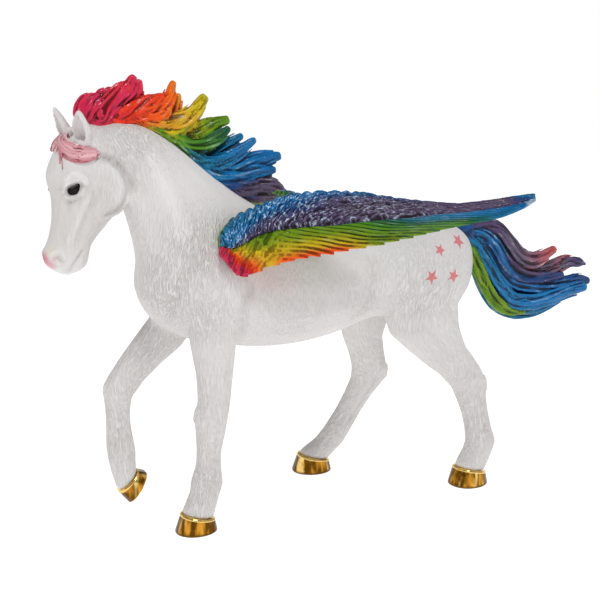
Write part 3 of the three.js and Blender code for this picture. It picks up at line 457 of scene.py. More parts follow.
class Paint:
    """A value inside a material; sums, products and mixes of it add the nodes that work them out."""

    def __init__(self, material, socket):
        self.material, self.socket = material, socket

    def node(self, kind, settings=None, sockets=None, out=0):
        """Adds a node, with its settings first and then the values or links of its sockets."""
        made = self.material.node_tree.nodes.new("ShaderNode" + kind)
        for key, value in (settings or {}).items():
            if key == "stops":
                stops = made.color_ramp.elements
                while len(stops) > 1:
                    stops.remove(stops[-1])
                for count, (place, colour) in enumerate(value):
                    stop = stops[0] if count == 0 else stops.new(place)
                    stop.position, stop.color = place, (*colour, 1)
            else:
                setattr(made, key, value)
        for key, value in (sockets or {}).items():
            if isinstance(value, Paint):
                self.material.node_tree.links.new(value.socket, made.inputs[key])
            else:
                made.inputs[key].default_value = value
        return Paint(self.material, made.outputs[out])

    def combine(self, how, first, second):
        wide = any(isinstance(x, tuple) or (isinstance(x, Paint) and x.socket.type != "VALUE")
                   for x in (first, second))
        if not wide:
            return self.node("Math", {"operation": how}, {0: first, 1: second})
        first, second = ((x,) * 3 if isinstance(x, (int, float)) else x for x in (first, second))
        return self.node("VectorMath", {"operation": how}, {0: first, 1: second})

    def maths(self, how, other=0.0):
        """One sum on this value, by the name that its node has for it."""
        return self.combine(how, self, other)

    def measure(self, how, other=(0, 0, 0)):
        """A number worked out from this place: its length, or its distance or dot product with another."""
        return self.node("VectorMath", {"operation": how}, {0: self, 1: tuple(other)}, 1)

    def __add__(self, other): return self.combine("ADD", self, other)
    def __radd__(self, other): return self.combine("ADD", other, self)
    def __sub__(self, other): return self.combine("SUBTRACT", self, other)
    def __rsub__(self, other): return self.combine("SUBTRACT", other, self)
    def __mul__(self, other): return self.combine("MULTIPLY", self, other)
    def __rmul__(self, other): return self.combine("MULTIPLY", other, self)
    def __truediv__(self, other): return self.combine("DIVIDE", self, other)
    def __pow__(self, other): return self.combine("POWER", self, other)

    def between(self, low, high):
        """0 below low and 1 above high, smooth between; the other way round if high is the lower."""
        flip = high < low
        low, high = min(low, high), max(low, high)
        share = self.node("MapRange", {"interpolation_type": "SMOOTHSTEP"}, {0: self, 1: low, 2: high})
        return 1 - share if flip else share

    def choose(self, off, on):
        """The colour off where this mask is 0 and on where it is 1."""
        off, on = ((*x, 1) if isinstance(x, tuple) else x for x in (off, on))
        return self.node("Mix", {"data_type": "RGBA"}, {0: self, 6: off, 7: on}, 2)

    def from_point(self, point, low, high):
        """A soft spot round a point of a place in millimetres: 1 within low and 0 beyond high."""
        return self.measure("DISTANCE", point).between(high, low)

    def grain(self, scale, detail=2.0, rough=0.5, seed=0.0):
        """Noise from 0 to 1 at this value's place; scale is in cells a unit, along each axis."""
        place = self * tuple(scale) + (seed, seed * 1.7, seed * 0.6)
        return place.node("TexNoise", {}, {"Vector": place, "Scale": 1.0, "Detail": detail, "Roughness": rough})

    def axis(self, which):
        return self.node("SeparateXYZ", {}, {0: self}, which)


def new_paint(name):
    """A material and its places: the place on the piece in millimetres, a reader of marks, and its shader."""
    material = bpy.data.materials.new(name)
    material.use_nodes = True
    shader = material.node_tree.nodes["Principled BSDF"]
    blank = Paint(material, None)
    place = blank.node("TexCoord", {}, {}, "Object") * 1000.0

    def mark(key, out="Fac"):
        return blank.node("Attribute", {"attribute_name": key}, {}, out)
    return material, place, mark, shader


def put(material, shader, varying, fixed):
    """Links what varies and sets what is the same all over."""
    for key, value in varying.items():
        material.node_tree.links.new(value.socket, shader.inputs[key])
    for key, value in fixed.items():
        shader.inputs[key].default_value = value


def relief(height, depth, onto=None):
    """A bump of this depth in millimetres, on top of another."""
    sockets = {"Height": height, "Distance": depth * MM, "Strength": 1.0}
    if onto is not None:
        sockets["Normal"] = onto
    return height.node("Bump", {}, sockets)


def star_mask(place, centre, across, up, size, turn):
    """1 inside a five-pointed star painted at a place; across and up lie along the skin."""
    away = place - tuple(centre)
    u, v = away.measure("DOT_PRODUCT", across), away.measure("DOT_PRODUCT", up)
    angle = u.maths("ARCTAN2", v) + (math.pi + math.radians(turn))
    fold = angle.maths("PINGPONG", math.pi / 5)
    reach = (u * u + v * v) ** 0.5
    # The star's edge is a straight line from a tip to the notch beside it.
    notch = 0.42
    far = (1 - notch * math.cos(math.pi / 5)) / (notch * math.sin(math.pi / 5))
    edge = fold.maths("COSINE") + far * fold.maths("SINE")
    ragged = place.grain((2.4, 2.4, 2.4), 3.0) * 0.12
    inside = (reach * edge / size + ragged).between(1.12, 1.02)
    depth = away.measure("LENGTH").between(4.5, 3.5)
    return inside * depth


COAT_WHITE = (0.70, 0.68, 0.667)
RUBBED_AND_LIT_WHITE = (0.80, 0.785, 0.775)
GREY_WASH_AND_SHADE = (0.50, 0.46, 0.43)
BLUSH = (0.66, 0.24, 0.30)
NOSE_CREAM = (0.80, 0.74, 0.48)
STAR_PINK = (0.68, 0.20, 0.22)
STARS = [  # centre, across, up, size, turn
    ((21.0, -13.1, 71.5), (1, 0.06, 0), (0, 0.22, 0.97), 2.0, 10),
    ((28.9, -10.3, 73.3), (0.96, 0.27, 0), (-0.2, 0.5, 0.84), 2.6, -8),
    ((17.5, -14.7, 64.2), (1, 0.05, 0), (0, -0.05, 1), 2.3, 0),
    ((25.5, -13.9, 63.8), (0.97, 0.25, 0), (0, -0.06, 1), 2.2, 14),
]


def coat_paint():
    material, place, mark, shader = new_paint("white_coat")
    hair = mark("comb", "Vector")
    depth = mark("fur")
    fine = hair.grain((2.8, 2.8, 0.50), 1.0, 0.5)
    long = hair.grain((1.7, 1.7, 0.26), 1.5, 0.5, 3.0)
    strokes = (fine * 0.5 + long * 0.5).between(0.40, 0.60)  # 1 on the ridges, 0 in the strokes
    cuts = (1 - strokes) * depth
    mottle = place.grain((0.16, 0.16, 0.16), 3.0)
    # Grey wash in the hair strokes, with painted shade added in the carved hollows.
    wash_and_shade = (cuts * 0.44 + mark("hollow") * 0.42 + mottle.between(0.48, 0.75) * 0.10).between(0.0, 1.0)
    colour = wash_and_shade.choose(COAT_WHITE, GREY_WASH_AND_SHADE)
    # The head is painted greyer as painted shade, streaked down the nose; what stands proud is painted lighter, as
    # wash rubbed off and as painted highlight.
    streaks = place.grain((1.1, 1.1, 0.22), 3.0, 0.6, 9.0).between(0.3, 0.7) * 0.5 + 0.5
    face = place.from_point((-80, -6, 86), 5, 15) * streaks
    colour = (face * 0.46).choose(colour, GREY_WASH_AND_SHADE)
    colour = (mark("proud") * 0.6).choose(colour, RUBBED_AND_LIT_WHITE)
    under_wing = place.from_point((-30, -14.5, 67.5), 2, 13) * 0.22
    under_wing = under_wing.maths("MAXIMUM", place.from_point((-12, -14.5, 70.5), 1, 15) * 0.16)
    far_side = place.from_point((-30, 14.5, 67.5), 2, 12) * 0.16
    nose = place.from_point((-88.3, -4.9, 74.0), 0.8, 3.2) * 0.95
    nostrils = place.from_point((-86.6, -6.0, 72.4), 0.4, 2.6) * 0.65
    ears = mark("ear_cup") * 0.22
    nostril = place.from_point((-85.7, -7.3, 74.3), 0.2, 1.3) * 0.5
    for mask in (under_wing, far_side, nose, nostrils, nostril, ears):
        colour = (mask * (mottle * 0.8 + 0.55)).between(0.0, 1.0).choose(colour, BLUSH)
    halo = place.from_point((-86.4, -6.4, 76.2), 0.6, 2.4) * 0.30
    colour = halo.choose(colour, NOSE_CREAM)
    for centre, across, up, size, turn in STARS:
        colour = star_mask(place, centre, across, up, size, turn).choose(colour, STAR_PINK)
    pores = place.grain((5, 5, 5), 2.0, 0.6, 5.0)
    bump = relief(strokes * depth + pores * 0.05, 0.26)
    put(material, shader, {"Base Color": colour, "Roughness": mottle * 0.2 + 0.42, "Normal": bump},
        {"Specular IOR Level": 0.35})
    return material


coat = coat_paint()
to_body = white.at(body_gap, corners)
owner = np.zeros(len(faces), int)
for number, leg in enumerate(LEGS, 1):
    owner[(to_body - white.at(leg_gaps[leg], corners))[faces].mean(axis=1) > 0.05] = number


def rim_of(rows):
    """Edges along the open rim of some faces, in the order that the faces go round."""
    pairs = np.concatenate([np.stack([rows[:, i], rows[:, (i + 1) % 4]], axis=1) for i in range(4)])
    forward = pairs[:, 0] * len(corners) + pairs[:, 1]
    back = pairs[:, 1] * len(corners) + pairs[:, 0]
    return pairs[~np.isin(forward, back)]


def white_piece(name, number, node):
    """One casting's share of the skin, closed by a shallow plug at each joint with its neighbour."""
    rows = faces[owner == number]
    rim = rim_of(rows)
    points, around = [corners], [outward]
    quads, fans = [rows], []
    count = len(corners)
    for other in range(1, 5) if number == 0 else [number]:
        ring = np.isin(rim[:, 0], faces[owner == other]) if number == 0 else np.ones(len(rim), bool)
        edges = rim[ring]
        middle = corners[edges[:, 0]].mean(axis=0)
        away = corners[faces[owner == other]].mean(axis=(0, 1)) - middle
        away *= (-PLUG_DEPTH if number == 0 else PLUG_DEPTH) / np.linalg.norm(away)
        used, place = np.unique(edges, return_inverse=True)
        place = place.reshape(edges.shape) + count
        inner = corners[used] + away * 0.7 + (middle - corners[used]) * 0.3
        points += [inner, (middle + away)[None]]
        around += [np.tile(-away / PLUG_DEPTH, (len(inner) + 1, 1))]
        centre = count + len(inner)
        quads.append(np.stack([edges[:, 1], edges[:, 0], place[:, 0], place[:, 1]], axis=1))
        fans.append(np.stack([place[:, 1], place[:, 0], np.full(len(edges), centre)], axis=1))
        count = centre + 1
    points, around = np.vstack(points), np.vstack(around)
    quads, fans = np.vstack(quads), np.vstack(fans)
    used = np.unique(np.concatenate([quads.ravel(), fans.ravel()]))
    new = np.full(len(points), -1)
    new[used] = np.arange(len(used))
    marks = {}
    for key, values in (("comb", combed), ("fur", fur), ("hollow", hollow), ("proud", proud), ("ear_cup", ear_cup)):
        extra = np.zeros((len(points) - len(corners), *values.shape[1:]))
        marks[key] = np.concatenate([values, extra])[used]
    mesh = mesh_of(name, points[used], [new[quads], new[fans]], marks, around[used])
    return add_piece(name, mesh, coat, node)


white_piece("body_casting", 0, "body")


# Legs: four vinyl castings that plug into the barrel, one foreleg lifted, sprayed with the same white.
# Their skin is the casting's own, cut off along each joint.

for number, leg in enumerate(LEGS, 1):
    white_piece(leg + "_casting", number, leg)


# Hooves: four hollow caps, plated mirror gold, pressed on the ankle pegs. Each has a crisp sole edge, a wall
# that draws in upward and a thin rolled lip at the coronet; one stands on its toe in the air.

HOOF_LENGTH, HOOF_WIDTH = 11.4, 10.2
HOOF_TOE, HOOF_HEEL, HOOF_SLOPE = 5.0, 3.1, 0.09
HOOF_WALL = [  # height and size of the cap's rings, from the middle of the sole to under the ankle
    (0.05, 0.35), (0.05, 0.80), (0.0, 0.86), (0.0, 0.965), (0.015, 0.988), (0.05, 1.0), (0.12, 0.993),
    (0.24, 0.978), (0.38, 0.961), (0.52, 0.943), (0.66, 0.925), (0.78, 0.909), (0.86, 0.898), (0.885, 0.893),
    (0.90, 0.900), (0.925, 0.910), (0.955, 0.910), (0.985, 0.905), (1.01, 0.895), (1.04, 0.865), (1.06, 0.81),
    (1.06, 0.55),
]
HOOVES = {  # where it stands, pitch, turn, size
    "left_fore_hoof": ((-52.406, -11.0, 0), 0, 0, 1.0),
    "right_fore_hoof": ((-62.106, 11.5, 5.9), -57, 0, 0.86),
    "left_hind_hoof": ((33.294, -12.7, 0), 0, 10, 1.08),
    "right_hind_hoof": ((-4.706, 17.3, 0), 0, -10, 1.08),
}
HOOF_SIDES = 64
GOLD_DARK_REFLECTION, GOLD_WARM, GOLD_BRIGHT = (0.12, 0.048, 0.004), (0.64, 0.30, 0.03), (0.95, 0.68, 0.24)
GOLD_EDGE_HIGHLIGHT, GOLD_ASLANT, GOLD_NEAR_TABLE = (0.88, 0.60, 0.20), (0.07, 0.030, 0.005), (0.10, 0.045, 0.008)


def gold_paint():
    material, place, mark, shader = new_paint("hoof_gold")
    specks = place.grain((1.6, 1.6, 1.6), 3.0, 0.6)
    edge_highlight = mark("hoof_edge") * 0.6 + specks * 0.25
    # Painted reflections: dark and warm bands and bright spots stand in for the studio mirrored in the plating.
    reflection_bands = place.grain((0.55, 0.55, 0.08), 2.0, 0.5, 7.0).between(0.36, 0.66)
    colour = reflection_bands.choose(GOLD_DARK_REFLECTION, GOLD_WARM)
    shine = place.grain((0.34, 0.34, 0.10), 1.0, 0.5, 2.0).between(0.56, 0.70)
    colour = shine.choose(colour, GOLD_BRIGHT)
    # Painted highlight: lighter gold along the sole edge and the coronet lip, and at random specks.
    colour = edge_highlight.between(0.35, 0.85).choose(colour, GOLD_EDGE_HIGHLIGHT)
    # A dark room shows at the sides, where the plating is seen aslant.
    aslant = place.node("LayerWeight", {}, {"Blend": 0.5}, 1)
    colour = (aslant.between(0.18, 0.70) * (1 - mark("hoof_edge"))).choose(colour, GOLD_ASLANT)
    # The gold goes dark within about a millimetre of the table.
    colour = place.axis(2).between(1.1, 0.1).choose(colour, GOLD_NEAR_TABLE)
    rough = specks.between(0.35, 0.8) * 0.14 + 0.12
    ripple = relief(place.grain((0.55, 0.55, 0.35), 2.0, 0.5, 4.0), 0.22)
    ripple = relief(specks, 0.012, ripple)
    put(material, shader, {"Base Color": colour, "Roughness": rough, "Normal": ripple}, {"Metallic": 1.0})
    return material


def tube_faces(rings, around):
    """Faces of a closed skin over rings, with a fan at each end whose middles are its last two corners."""
    i, j = np.meshgrid(np.arange(rings - 1), np.arange(around), indexing="ij")
    a, b = i * around + j, i * around + (j + 1) % around
    quads = np.stack([a, b, b + around, a + around], axis=-1).reshape(-1, 4)
    j = np.arange(around)
    last = (rings - 1) * around
    fans = np.concatenate([
        np.stack([np.full(around, rings * around), (j + 1) % around, j], axis=1),
        np.stack([np.full(around, rings * around + 1), last + j, last + (j + 1) % around], axis=1)])
    return quads, fans


def facing_out(corners, quads, fans):
    """The faces turned so that the skin looks outward."""
    a, b, c = (corners[quads[:, i]] for i in range(3))
    d = corners[quads[:, 3]]
    volume = np.einsum("ij,ij->i", a, np.cross(b, c)).sum() + np.einsum("ij,ij->i", a, np.cross(c, d)).sum()
    return (quads, fans) if volume > 0 else (quads[:, ::-1], fans[:, ::-1])


gold = gold_paint()
for node, (at, pitch, turn, size) in HOOVES.items():
    turns = np.arange(HOOF_SIDES) / HOOF_SIDES * 2 * math.pi
    rings = []
    for up, wide in HOOF_WALL:
        back = HOOF_LENGTH * HOOF_SLOPE * up
        toe, heel = -HOOF_LENGTH / 2 * wide + back, HOOF_LENGTH / 2 * wide
        ahead = np.cos(turns)
        flat = np.sign(np.sin(turns)) * np.abs(np.sin(turns)) ** 0.92
        heel_dent = 0.05 * np.exp(-(np.abs(np.angle(np.exp(1j * (turns - math.pi)))) / 0.22) ** 2)
        x = (toe + heel) / 2 + (toe - heel) / 2 * ahead * (1 - heel_dent)
        z = up * ((HOOF_TOE + HOOF_HEEL) / 2 + (HOOF_TOE - HOOF_HEEL) / 2 * ahead)
        rings.append(np.stack([x, HOOF_WIDTH / 2 * wide * flat, z], axis=1))
    skin = np.vstack(rings + [rings[0].mean(0)[None], rings[-1].mean(0)[None]])
    tipped = turned(skin, 2, 0, math.radians(pitch)) * size
    placed = turned(tipped, 0, 1, math.radians(turn))
    quads, fans = facing_out(placed, *tube_faces(len(HOOF_WALL), HOOF_SIDES))
    edge = np.concatenate([np.repeat([1.0 if up < 0.06 or 0.9 < up else 0.0 for up, wide in HOOF_WALL],
                                     HOOF_SIDES), [0, 0]])
    mesh = mesh_of(node + "_cap", placed + np.array(at), [quads, fans], {"hoof_edge": edge})
    add_piece(node + "_cap", mesh, gold, node)


# Eyes: two drop-shaped beads of gloss black enamel, set in the sockets under the lids, with the narrow end
# towards the nose.

EYE_OUTLINE = [  # x and z on the straight head
    (-84.12, 90.75), (-83.98, 90.22), (-83.56, 89.80), (-82.81, 89.64), (-81.72, 89.90), (-81.05, 90.75),
    (-80.70, 91.75), (-80.78, 92.42), (-81.10, 92.62), (-81.80, 92.38), (-82.98, 91.80), (-83.85, 91.28)]
EYE_MIDDLE = np.array((-82.0, 91.05))
EYE_SHARE = 0.92  # of the outline that the bead fills
EYE_DEPTH = 6.02  # how far from the head's middle the bead's face lies
EYE_DOME, EYE_BACK = 0.55, 1.3
EYE_LEAN = 0.10  # how much the bead follows the narrowing of the head
ENAMEL_BLACK, ENAMEL_BROWN = (0.004, 0.003, 0.004), (0.02, 0.013, 0.012)


def eye_paint():
    material, place, mark, shader = new_paint("eye_enamel")
    depth = place.grain((0.8, 0.8, 0.8), 2.0).between(0.3, 0.8)
    colour = depth.choose(ENAMEL_BLACK, ENAMEL_BROWN)
    put(material, shader, {"Base Color": colour, "Roughness": depth * 0.05 + 0.05,
                           "Normal": relief(place.grain((3, 3, 3), 1.0), 0.01)},
        {"Specular IOR Level": 0.05, "Coat Weight": 0.06, "Coat Roughness": 0.04})
    return material


enamel = eye_paint()
outline = curve_through(EYE_OUTLINE + EYE_OUTLINE[:1], 49)[:-1]
outline = EYE_MIDDLE + EYE_SHARE * (outline - EYE_MIDDLE)
for side, node in ((-1, "left_eye"), (1, "right_eye")):
    rings = []
    for size, face in [(s, 1) for s in np.sin(np.linspace(0.12, math.pi / 2, 10))] + \
            [(s, -1) for s in np.cos(np.linspace(0.25, 1.4, 8))]:
        lift = math.sqrt(max(1 - size * size, 0)) * (EYE_DOME if face > 0 else -EYE_BACK)
        xz = EYE_MIDDLE + (outline - EYE_MIDDLE) * size
        y = EYE_DEPTH - EYE_DOME + lift + EYE_LEAN * (xz[:, 0] - EYE_MIDDLE[0])
        rings.append(np.stack([xz[:, 0], side * y, xz[:, 1]], axis=1))
    skin = np.vstack(rings + [rings[0].mean(0)[None], rings[-1].mean(0)[None]])
    placed = in_head(skin)
    quads, fans = facing_out(placed, *tube_faces(len(rings), len(outline)))
    mesh = mesh_of(node + "_bead", placed, [quads, fans], {})
    add_piece(node + "_bead", mesh, enamel, node)


# Mane: one vinyl moulding of flame-like locks on a root ridge, let into the crest of the neck. The painter
# laid the rainbow along it, crimson at the poll to blue and grey purple at the withers, then lacquered it.

HAIR_GRAIN = 0.22
MELT = 0.10  # how softly one part of the hair runs into the next
CREST_RADIUS = 0.44  # of the thin ridges between gouged valleys
CREST_PITCH = 1.05
LINE_PITCH, LINE_DEPTH = 0.66, 0.13  # of the fine lines
HAIR_SEAT = 0.5  # how far the hair goes under the white skin
HAIR_COLOURS = [  # hue number, deep colour for painted shade, bright colour for painted highlight
    (0.00, (0.170, 0.003, 0.018), (0.620, 0.020, 0.085)),  # crimson
    (0.08, (0.300, 0.004, 0.003), (0.780, 0.035, 0.010)),  # red
    (0.20, (0.420, 0.028, 0.001), (0.860, 0.120, 0.006)),  # orange
    (0.30, (0.260, 0.075, 0.002), (0.700, 0.300, 0.018)),  # amber
    (0.40, (0.180, 0.110, 0.001), (0.640, 0.470, 0.010)),  # yellow
    (0.48, (0.024, 0.052, 0.001), (0.170, 0.285, 0.005)),  # lime
    (0.56, (0.006, 0.045, 0.002), (0.060, 0.230, 0.014)),  # green
    (0.63, (0.001, 0.020, 0.008), (0.010, 0.100, 0.040)),  # dark green
    (0.70, (0.001, 0.028, 0.046), (0.003, 0.160, 0.260)),  # teal
    (0.78, (0.001, 0.030, 0.105), (0.005, 0.165, 0.430)),  # blue
    (0.86, (0.002, 0.010, 0.040), (0.012, 0.060, 0.200)),  # dark blue
    (0.94, (0.012, 0.006, 0.020), (0.080, 0.052, 0.130)),  # purple
    (1.02, (0.022, 0.013, 0.026), (0.140, 0.105, 0.165)),  # grey purple
    (1.12, (0.150, 0.010, 0.014), (0.600, 0.100, 0.095)),  # salmon red
]


def unit(vectors):
    """Vectors made one long."""
    return vectors / np.linalg.norm(vectors, axis=-1, keepdims=True)


def tapered(run, over, least):
    """1 along the middle of a strand and less towards both ends."""
    return np.sqrt(np.clip(np.minimum(run, 1 - run) / over, least, 1))


class Hair:
    """Locks of hair laid into a block and melted into one another, with their colours carried along."""

    def __init__(self, low, high):
        self.block = Block(low, high, HAIR_GRAIN)
        self.sum, self.hue, self.pale = (np.zeros(self.block.shape, np.float32) for _ in range(3))
        self.nearest = np.full(self.block.shape, 9.0, np.float32)
        self.comb = np.zeros((*self.block.shape, 2), np.float32)
        self.laid = 0

    def strand(self, path, radii, hues, pale, frames=None, solid=True):
        """One strand, as a row of round pieces; radii, hues and pale have a value for each point."""
        margin = 5 * MELT + self.block.step
        low = np.min(path - radii[:, None], axis=0) - margin
        high = np.max(path + radii[:, None], axis=0) + margin
        first = np.maximum(np.floor(low / self.block.step).astype(int) - self.block.start, 0)
        last = np.minimum(np.ceil(high / self.block.step).astype(int) - self.block.start + 1, self.block.shape)
        if np.any(last <= first):
            return
        gap = np.full(tuple(last - first), 9.0, np.float32)
        along = np.zeros_like(gap)
        for i, (a, b) in enumerate(zip(path[:-1], path[1:])):
            widest = max(radii[i], radii[i + 1]) + margin
            low = np.maximum(np.floor((np.minimum(a, b) - widest) / self.block.step).astype(int)
                             - self.block.start, first) - first
            high = np.minimum(np.ceil((np.maximum(a, b) + widest) / self.block.step).astype(int)
                              - self.block.start + 1, last) - first
            if np.any(high <= low):
                continue
            window = tuple(slice(l, h) for l, h in zip(low, high))
            away = [((self.block.start[k] + first[k] + np.arange(low[k], high[k])) * self.block.step - a[k]).reshape(
                [-1 if k == axis else 1 for axis in range(3)]) for k in range(3)]
            step = b - a
            share = np.clip(sum(away[k] * step[k] for k in range(3)) / (step @ step + 1e-9), 0, 1)
            reach = np.sqrt(sum((away[k] - share * step[k]) ** 2 for k in range(3)))
            reach = (reach - (radii[i] + share * (radii[i + 1] - radii[i]))).astype(np.float32)
            nearer = reach < gap[window]
            gap[window] = np.where(nearer, reach, gap[window])
            along[window] = np.where(nearer, i + share, along[window])
        weight = np.exp(-np.clip(gap / MELT, -60, 30))
        window = tuple(slice(l, h) for l, h in zip(first, last))
        points = np.arange(len(path))
        if solid:
            self.sum[window] += weight
            self.hue[window] += weight * np.interp(along, points, hues)
            self.pale[window] += weight * np.interp(along, points, pale)
        if frames is None:
            return
        # The core also says how far along and how far round the lock each place lies.
        nearer = gap < self.nearest[window]
        self.nearest[window] = np.where(nearer, gap, self.nearest[window])
        lengths = np.concatenate([[0], np.cumsum(np.linalg.norm(np.diff(path, axis=0), axis=1))])
        grid = np.meshgrid(*[(self.block.start[k] + np.arange(first[k], last[k])) * self.block.step
                             for k in range(3)], indexing="ij")
        off = [grid[k] - np.interp(along, points, path[:, k]) for k in range(3)]
        wide, out, ratio = frames
        u = sum(off[k] * np.interp(along, points, wide[:, k]) for k in range(3))
        w = sum(off[k] * np.interp(along, points, out[:, k]) for k in range(3)) * ratio
        self.laid += 1
        for number, values in enumerate((np.interp(along, points, lengths),
                                         np.arctan2(w, u) * (radii.max() * (1 + ratio) / 2) + 40 * self.laid)):
            self.comb[(*window, number)] = np.where(nearer, values, self.comb[(*window, number)])

    def lock(self, path, half, hues, pale=(0, 0), out=(0, -1, 0), thick=2.0, blunt=0.35, crest=1.0, seed=0):
        """A lock: a flat smooth core with thin crests that flow along it, part and meet again."""
        spine = curve_through(path, 26)
        ahead = unit(np.gradient(spine, axis=0))
        out = np.array(out, float)
        out = unit(out[None] - ahead * (ahead @ out)[:, None])
        wide = np.cross(ahead, out)
        t = np.linspace(0, 1, len(spine))
        full = blunt + (1 - blunt) * (1 - t ** 3.2) ** 0.7
        full *= np.interp(t, [0, 0.3, 1], [0.7, 1, 1])
        chance = np.random.default_rng(seed)
        a, b = half - 0.15, min(thick, half) - 0.15
        hue = hues[0] + (hues[1] - hues[0]) * t
        light = pale[0] + (pale[1] - pale[0]) * t
        flat = b * np.interp(t, [0, 0.4, 1], [1, 1, 0.7])
        cores = max(int(math.ceil(2 * (a - b) / (0.6 * b))), 0) + 1
        for across in np.linspace(-1, 1, cores) if cores > 1 else [0.0]:
            centre = spine + wide * (across * (a - b) * full)[:, None]
            self.strand(centre, np.maximum(flat * full, 0.32), hue + chance.uniform(-0.01, 0.01), 0.25 * light,
                        (wide, out, a / b) if cores == 1 else None)
        if cores > 1:
            self.strand(spine, a * full, hue, light, (wide, out, a / b), solid=False)
        count = max(int(math.pi * (a + b) / (crest * CREST_PITCH)), 5)
        twist = chance.uniform(0.3, 0.9) * (1 if seed % 2 else -1)
        for k in range(count):
            wave = 0.35 * np.sin(t * chance.uniform(3, 6) + chance.uniform(0, 6))
            turn = 2 * math.pi * (k + 0.35 * chance.random()) / count + twist * t ** 1.3 + wave * full
            rise = chance.uniform(-0.08, 0.16)
            side = np.cos(turn) * (a * full + rise)
            centre = spine + wide * side[:, None] + out * (np.sin(turn) * (flat * full + rise))[:, None]
            start = int(chance.uniform(0, 0.3) * len(t)) if chance.random() < 0.6 else 0
            end = int(len(t) * chance.uniform(0.8, 1.0))
            run = np.linspace(0, 1, end - start)
            radii = crest * CREST_RADIUS * chance.uniform(0.75, 1.2) * tapered(run, 0.2, 0.12)
            self.strand(centre[start:end], radii * (0.6 + 0.4 * full[start:end]),
                        hue[start:end] + chance.uniform(-0.02, 0.02), light[start:end] * chance.uniform(0.3, 1.0))

    def skin(self, trim=None):
        """The hair's skin and its marks, cut back where it would fill another piece."""
        values = -MELT * np.log(np.maximum(self.sum, 1e-12))
        if trim is not None:
            values = np.maximum(values, trim)
        values = np.clip(values, -1.5, 1.5)
        corners, faces = self.block.skin(values)
        corners = relaxed(corners, faces, 2)
        near = np.clip(np.round(corners / self.block.step - self.block.start).astype(int), 0,
                       np.array(self.block.shape) - 1)
        comb = self.comb[tuple(near.T)]
        comb = np.concatenate([comb, np.zeros((len(comb), 1))], axis=1)
        # Fine lines scratched along the locks; they swerve a little.
        swerve = comb + 0.9 * drift(corners, (4.0, 4.0, 4.0), 21)[:, None] * np.array([0, 1, 0])
        lines = drift(swerve, (8.0, LINE_PITCH, 1), 22) + 0.5 * drift(swerve, (5.0, 0.6 * LINE_PITCH, 1), 23)
        lines = np.clip(1 - 1.6 * np.abs(lines), 0, 1)  # 1 on a crest
        around = normals_of(corners, faces)
        corners = corners + around * (LINE_DEPTH * (lines - 0.6))[:, None]
        total = np.maximum(self.block.at(self.sum, corners), 1e-9)
        fine, broad = (self.block.at(blurred(values, width, HAIR_GRAIN), corners) for width in (0.33, 1.0))
        # crown is high on crests and crease high in hollows; the lacquer gives the one painted highlight and the
        # other painted shade.
        marks = {"hue": self.block.at(self.hue, corners) / total, "pale": self.block.at(self.pale, corners) / total,
                 "crown": np.clip(0.48 + fine / 0.24 + 0.30 * (lines - 0.5), 0, 1),
                 "crease": np.clip((0.08 - broad) / 0.50, 0, 1), "comb": comb}
        return corners, faces, normals_of(corners, faces), marks

    def clear_of_casting(self, depth):
        """Distances that cut the hair off a little under the white skin."""
        places = np.stack(np.meshgrid(*self.block.axes(), indexing="ij"), -1).reshape(-1, 3)
        return (-white.at(whole, places) - depth).reshape(self.block.shape)


def lacquer(name, colours, valley_shade, pale_colour, gloss=0.5, glints=0.5, scratches=0.4):
    """Glossy paint: the hue by number, with painted highlight on the crests and painted shade deep in lines and
    creases, pale strokes dry-brushed along the crests, and painted glints on them.
    """
    material, place, mark, shader = new_paint(name)
    comb, crown, crease = mark("comb", "Vector"), mark("crown"), mark("crease")
    hue = mark("hue") + (place.grain((0.32, 0.32, 0.32), 2.0) - 0.5) * 0.07
    last = colours[-1][0]
    deep = hue.node("ValToRGB", {"stops": [(n / last, painted_shade) for n, painted_shade, light in colours]}, {0: hue / last})
    lit_colour = hue.node("ValToRGB", {"stops": [(n / last, light) for n, painted_shade, light in colours]}, {0: hue / last})
    streak = comb.grain((0.25, 1.8, 1.0), 2.0, 0.6)
    brush = place.grain((0.9, 0.9, 0.9), 3.0, 0.6)
    # Painted light: crests take the bright colour as painted highlight, valleys and creases the deep colour as
    # painted shade.
    light = (crown * 0.80 + streak * 0.30 + brush * 0.30 - crease * 0.50 - 0.10).between(0.0, 0.70)
    colour = light.choose(deep, lit_colour)
    pale = (mark("pale") * (streak * 0.5 + brush * 0.6) * (crown * 1.1 + 0.1)).between(0.16, 0.60)
    colour = pale.choose(colour, pale_colour)
    glint = crown.between(0.72, 1.0) * comb.grain((0.22, 1.8, 1.0), 2.0).between(0.55, 0.75) * glints
    colour = glint.choose(colour, pale_colour)
    scratch = comb.grain((0.10, 2.0, 1.0), 1.5, 0.5, 5.0) - 0.5
    scratch = scratch.maths("ABSOLUTE").between(0.035, 0.0) * scratches
    colour = scratch.choose(colour, deep)
    # Painted shade, darker still, in the valleys between crests and in creases.
    painted_shade = ((1 - crown) * valley_shade + crease * 0.5 - 0.22).between(0.0, 0.70)
    colour = painted_shade.choose(colour, deep * 0.40)
    rough = brush * 0.20 + (0.34 - 0.28 * gloss)
    put(material, shader, {"Base Color": colour, "Roughness": rough,
                           "Normal": relief(streak * 0.45 + brush * 0.55, 0.09)},
        {"Specular IOR Level": 0.10, "Coat Weight": 0.30 * gloss, "Coat Roughness": 0.10})
    return material


def hair_piece(name, hair, material, node, trim=None):
    corners, faces, around, marks = hair.skin(trim)
    return add_piece(name, mesh_of(name, corners, [faces], marks, around), material, node)


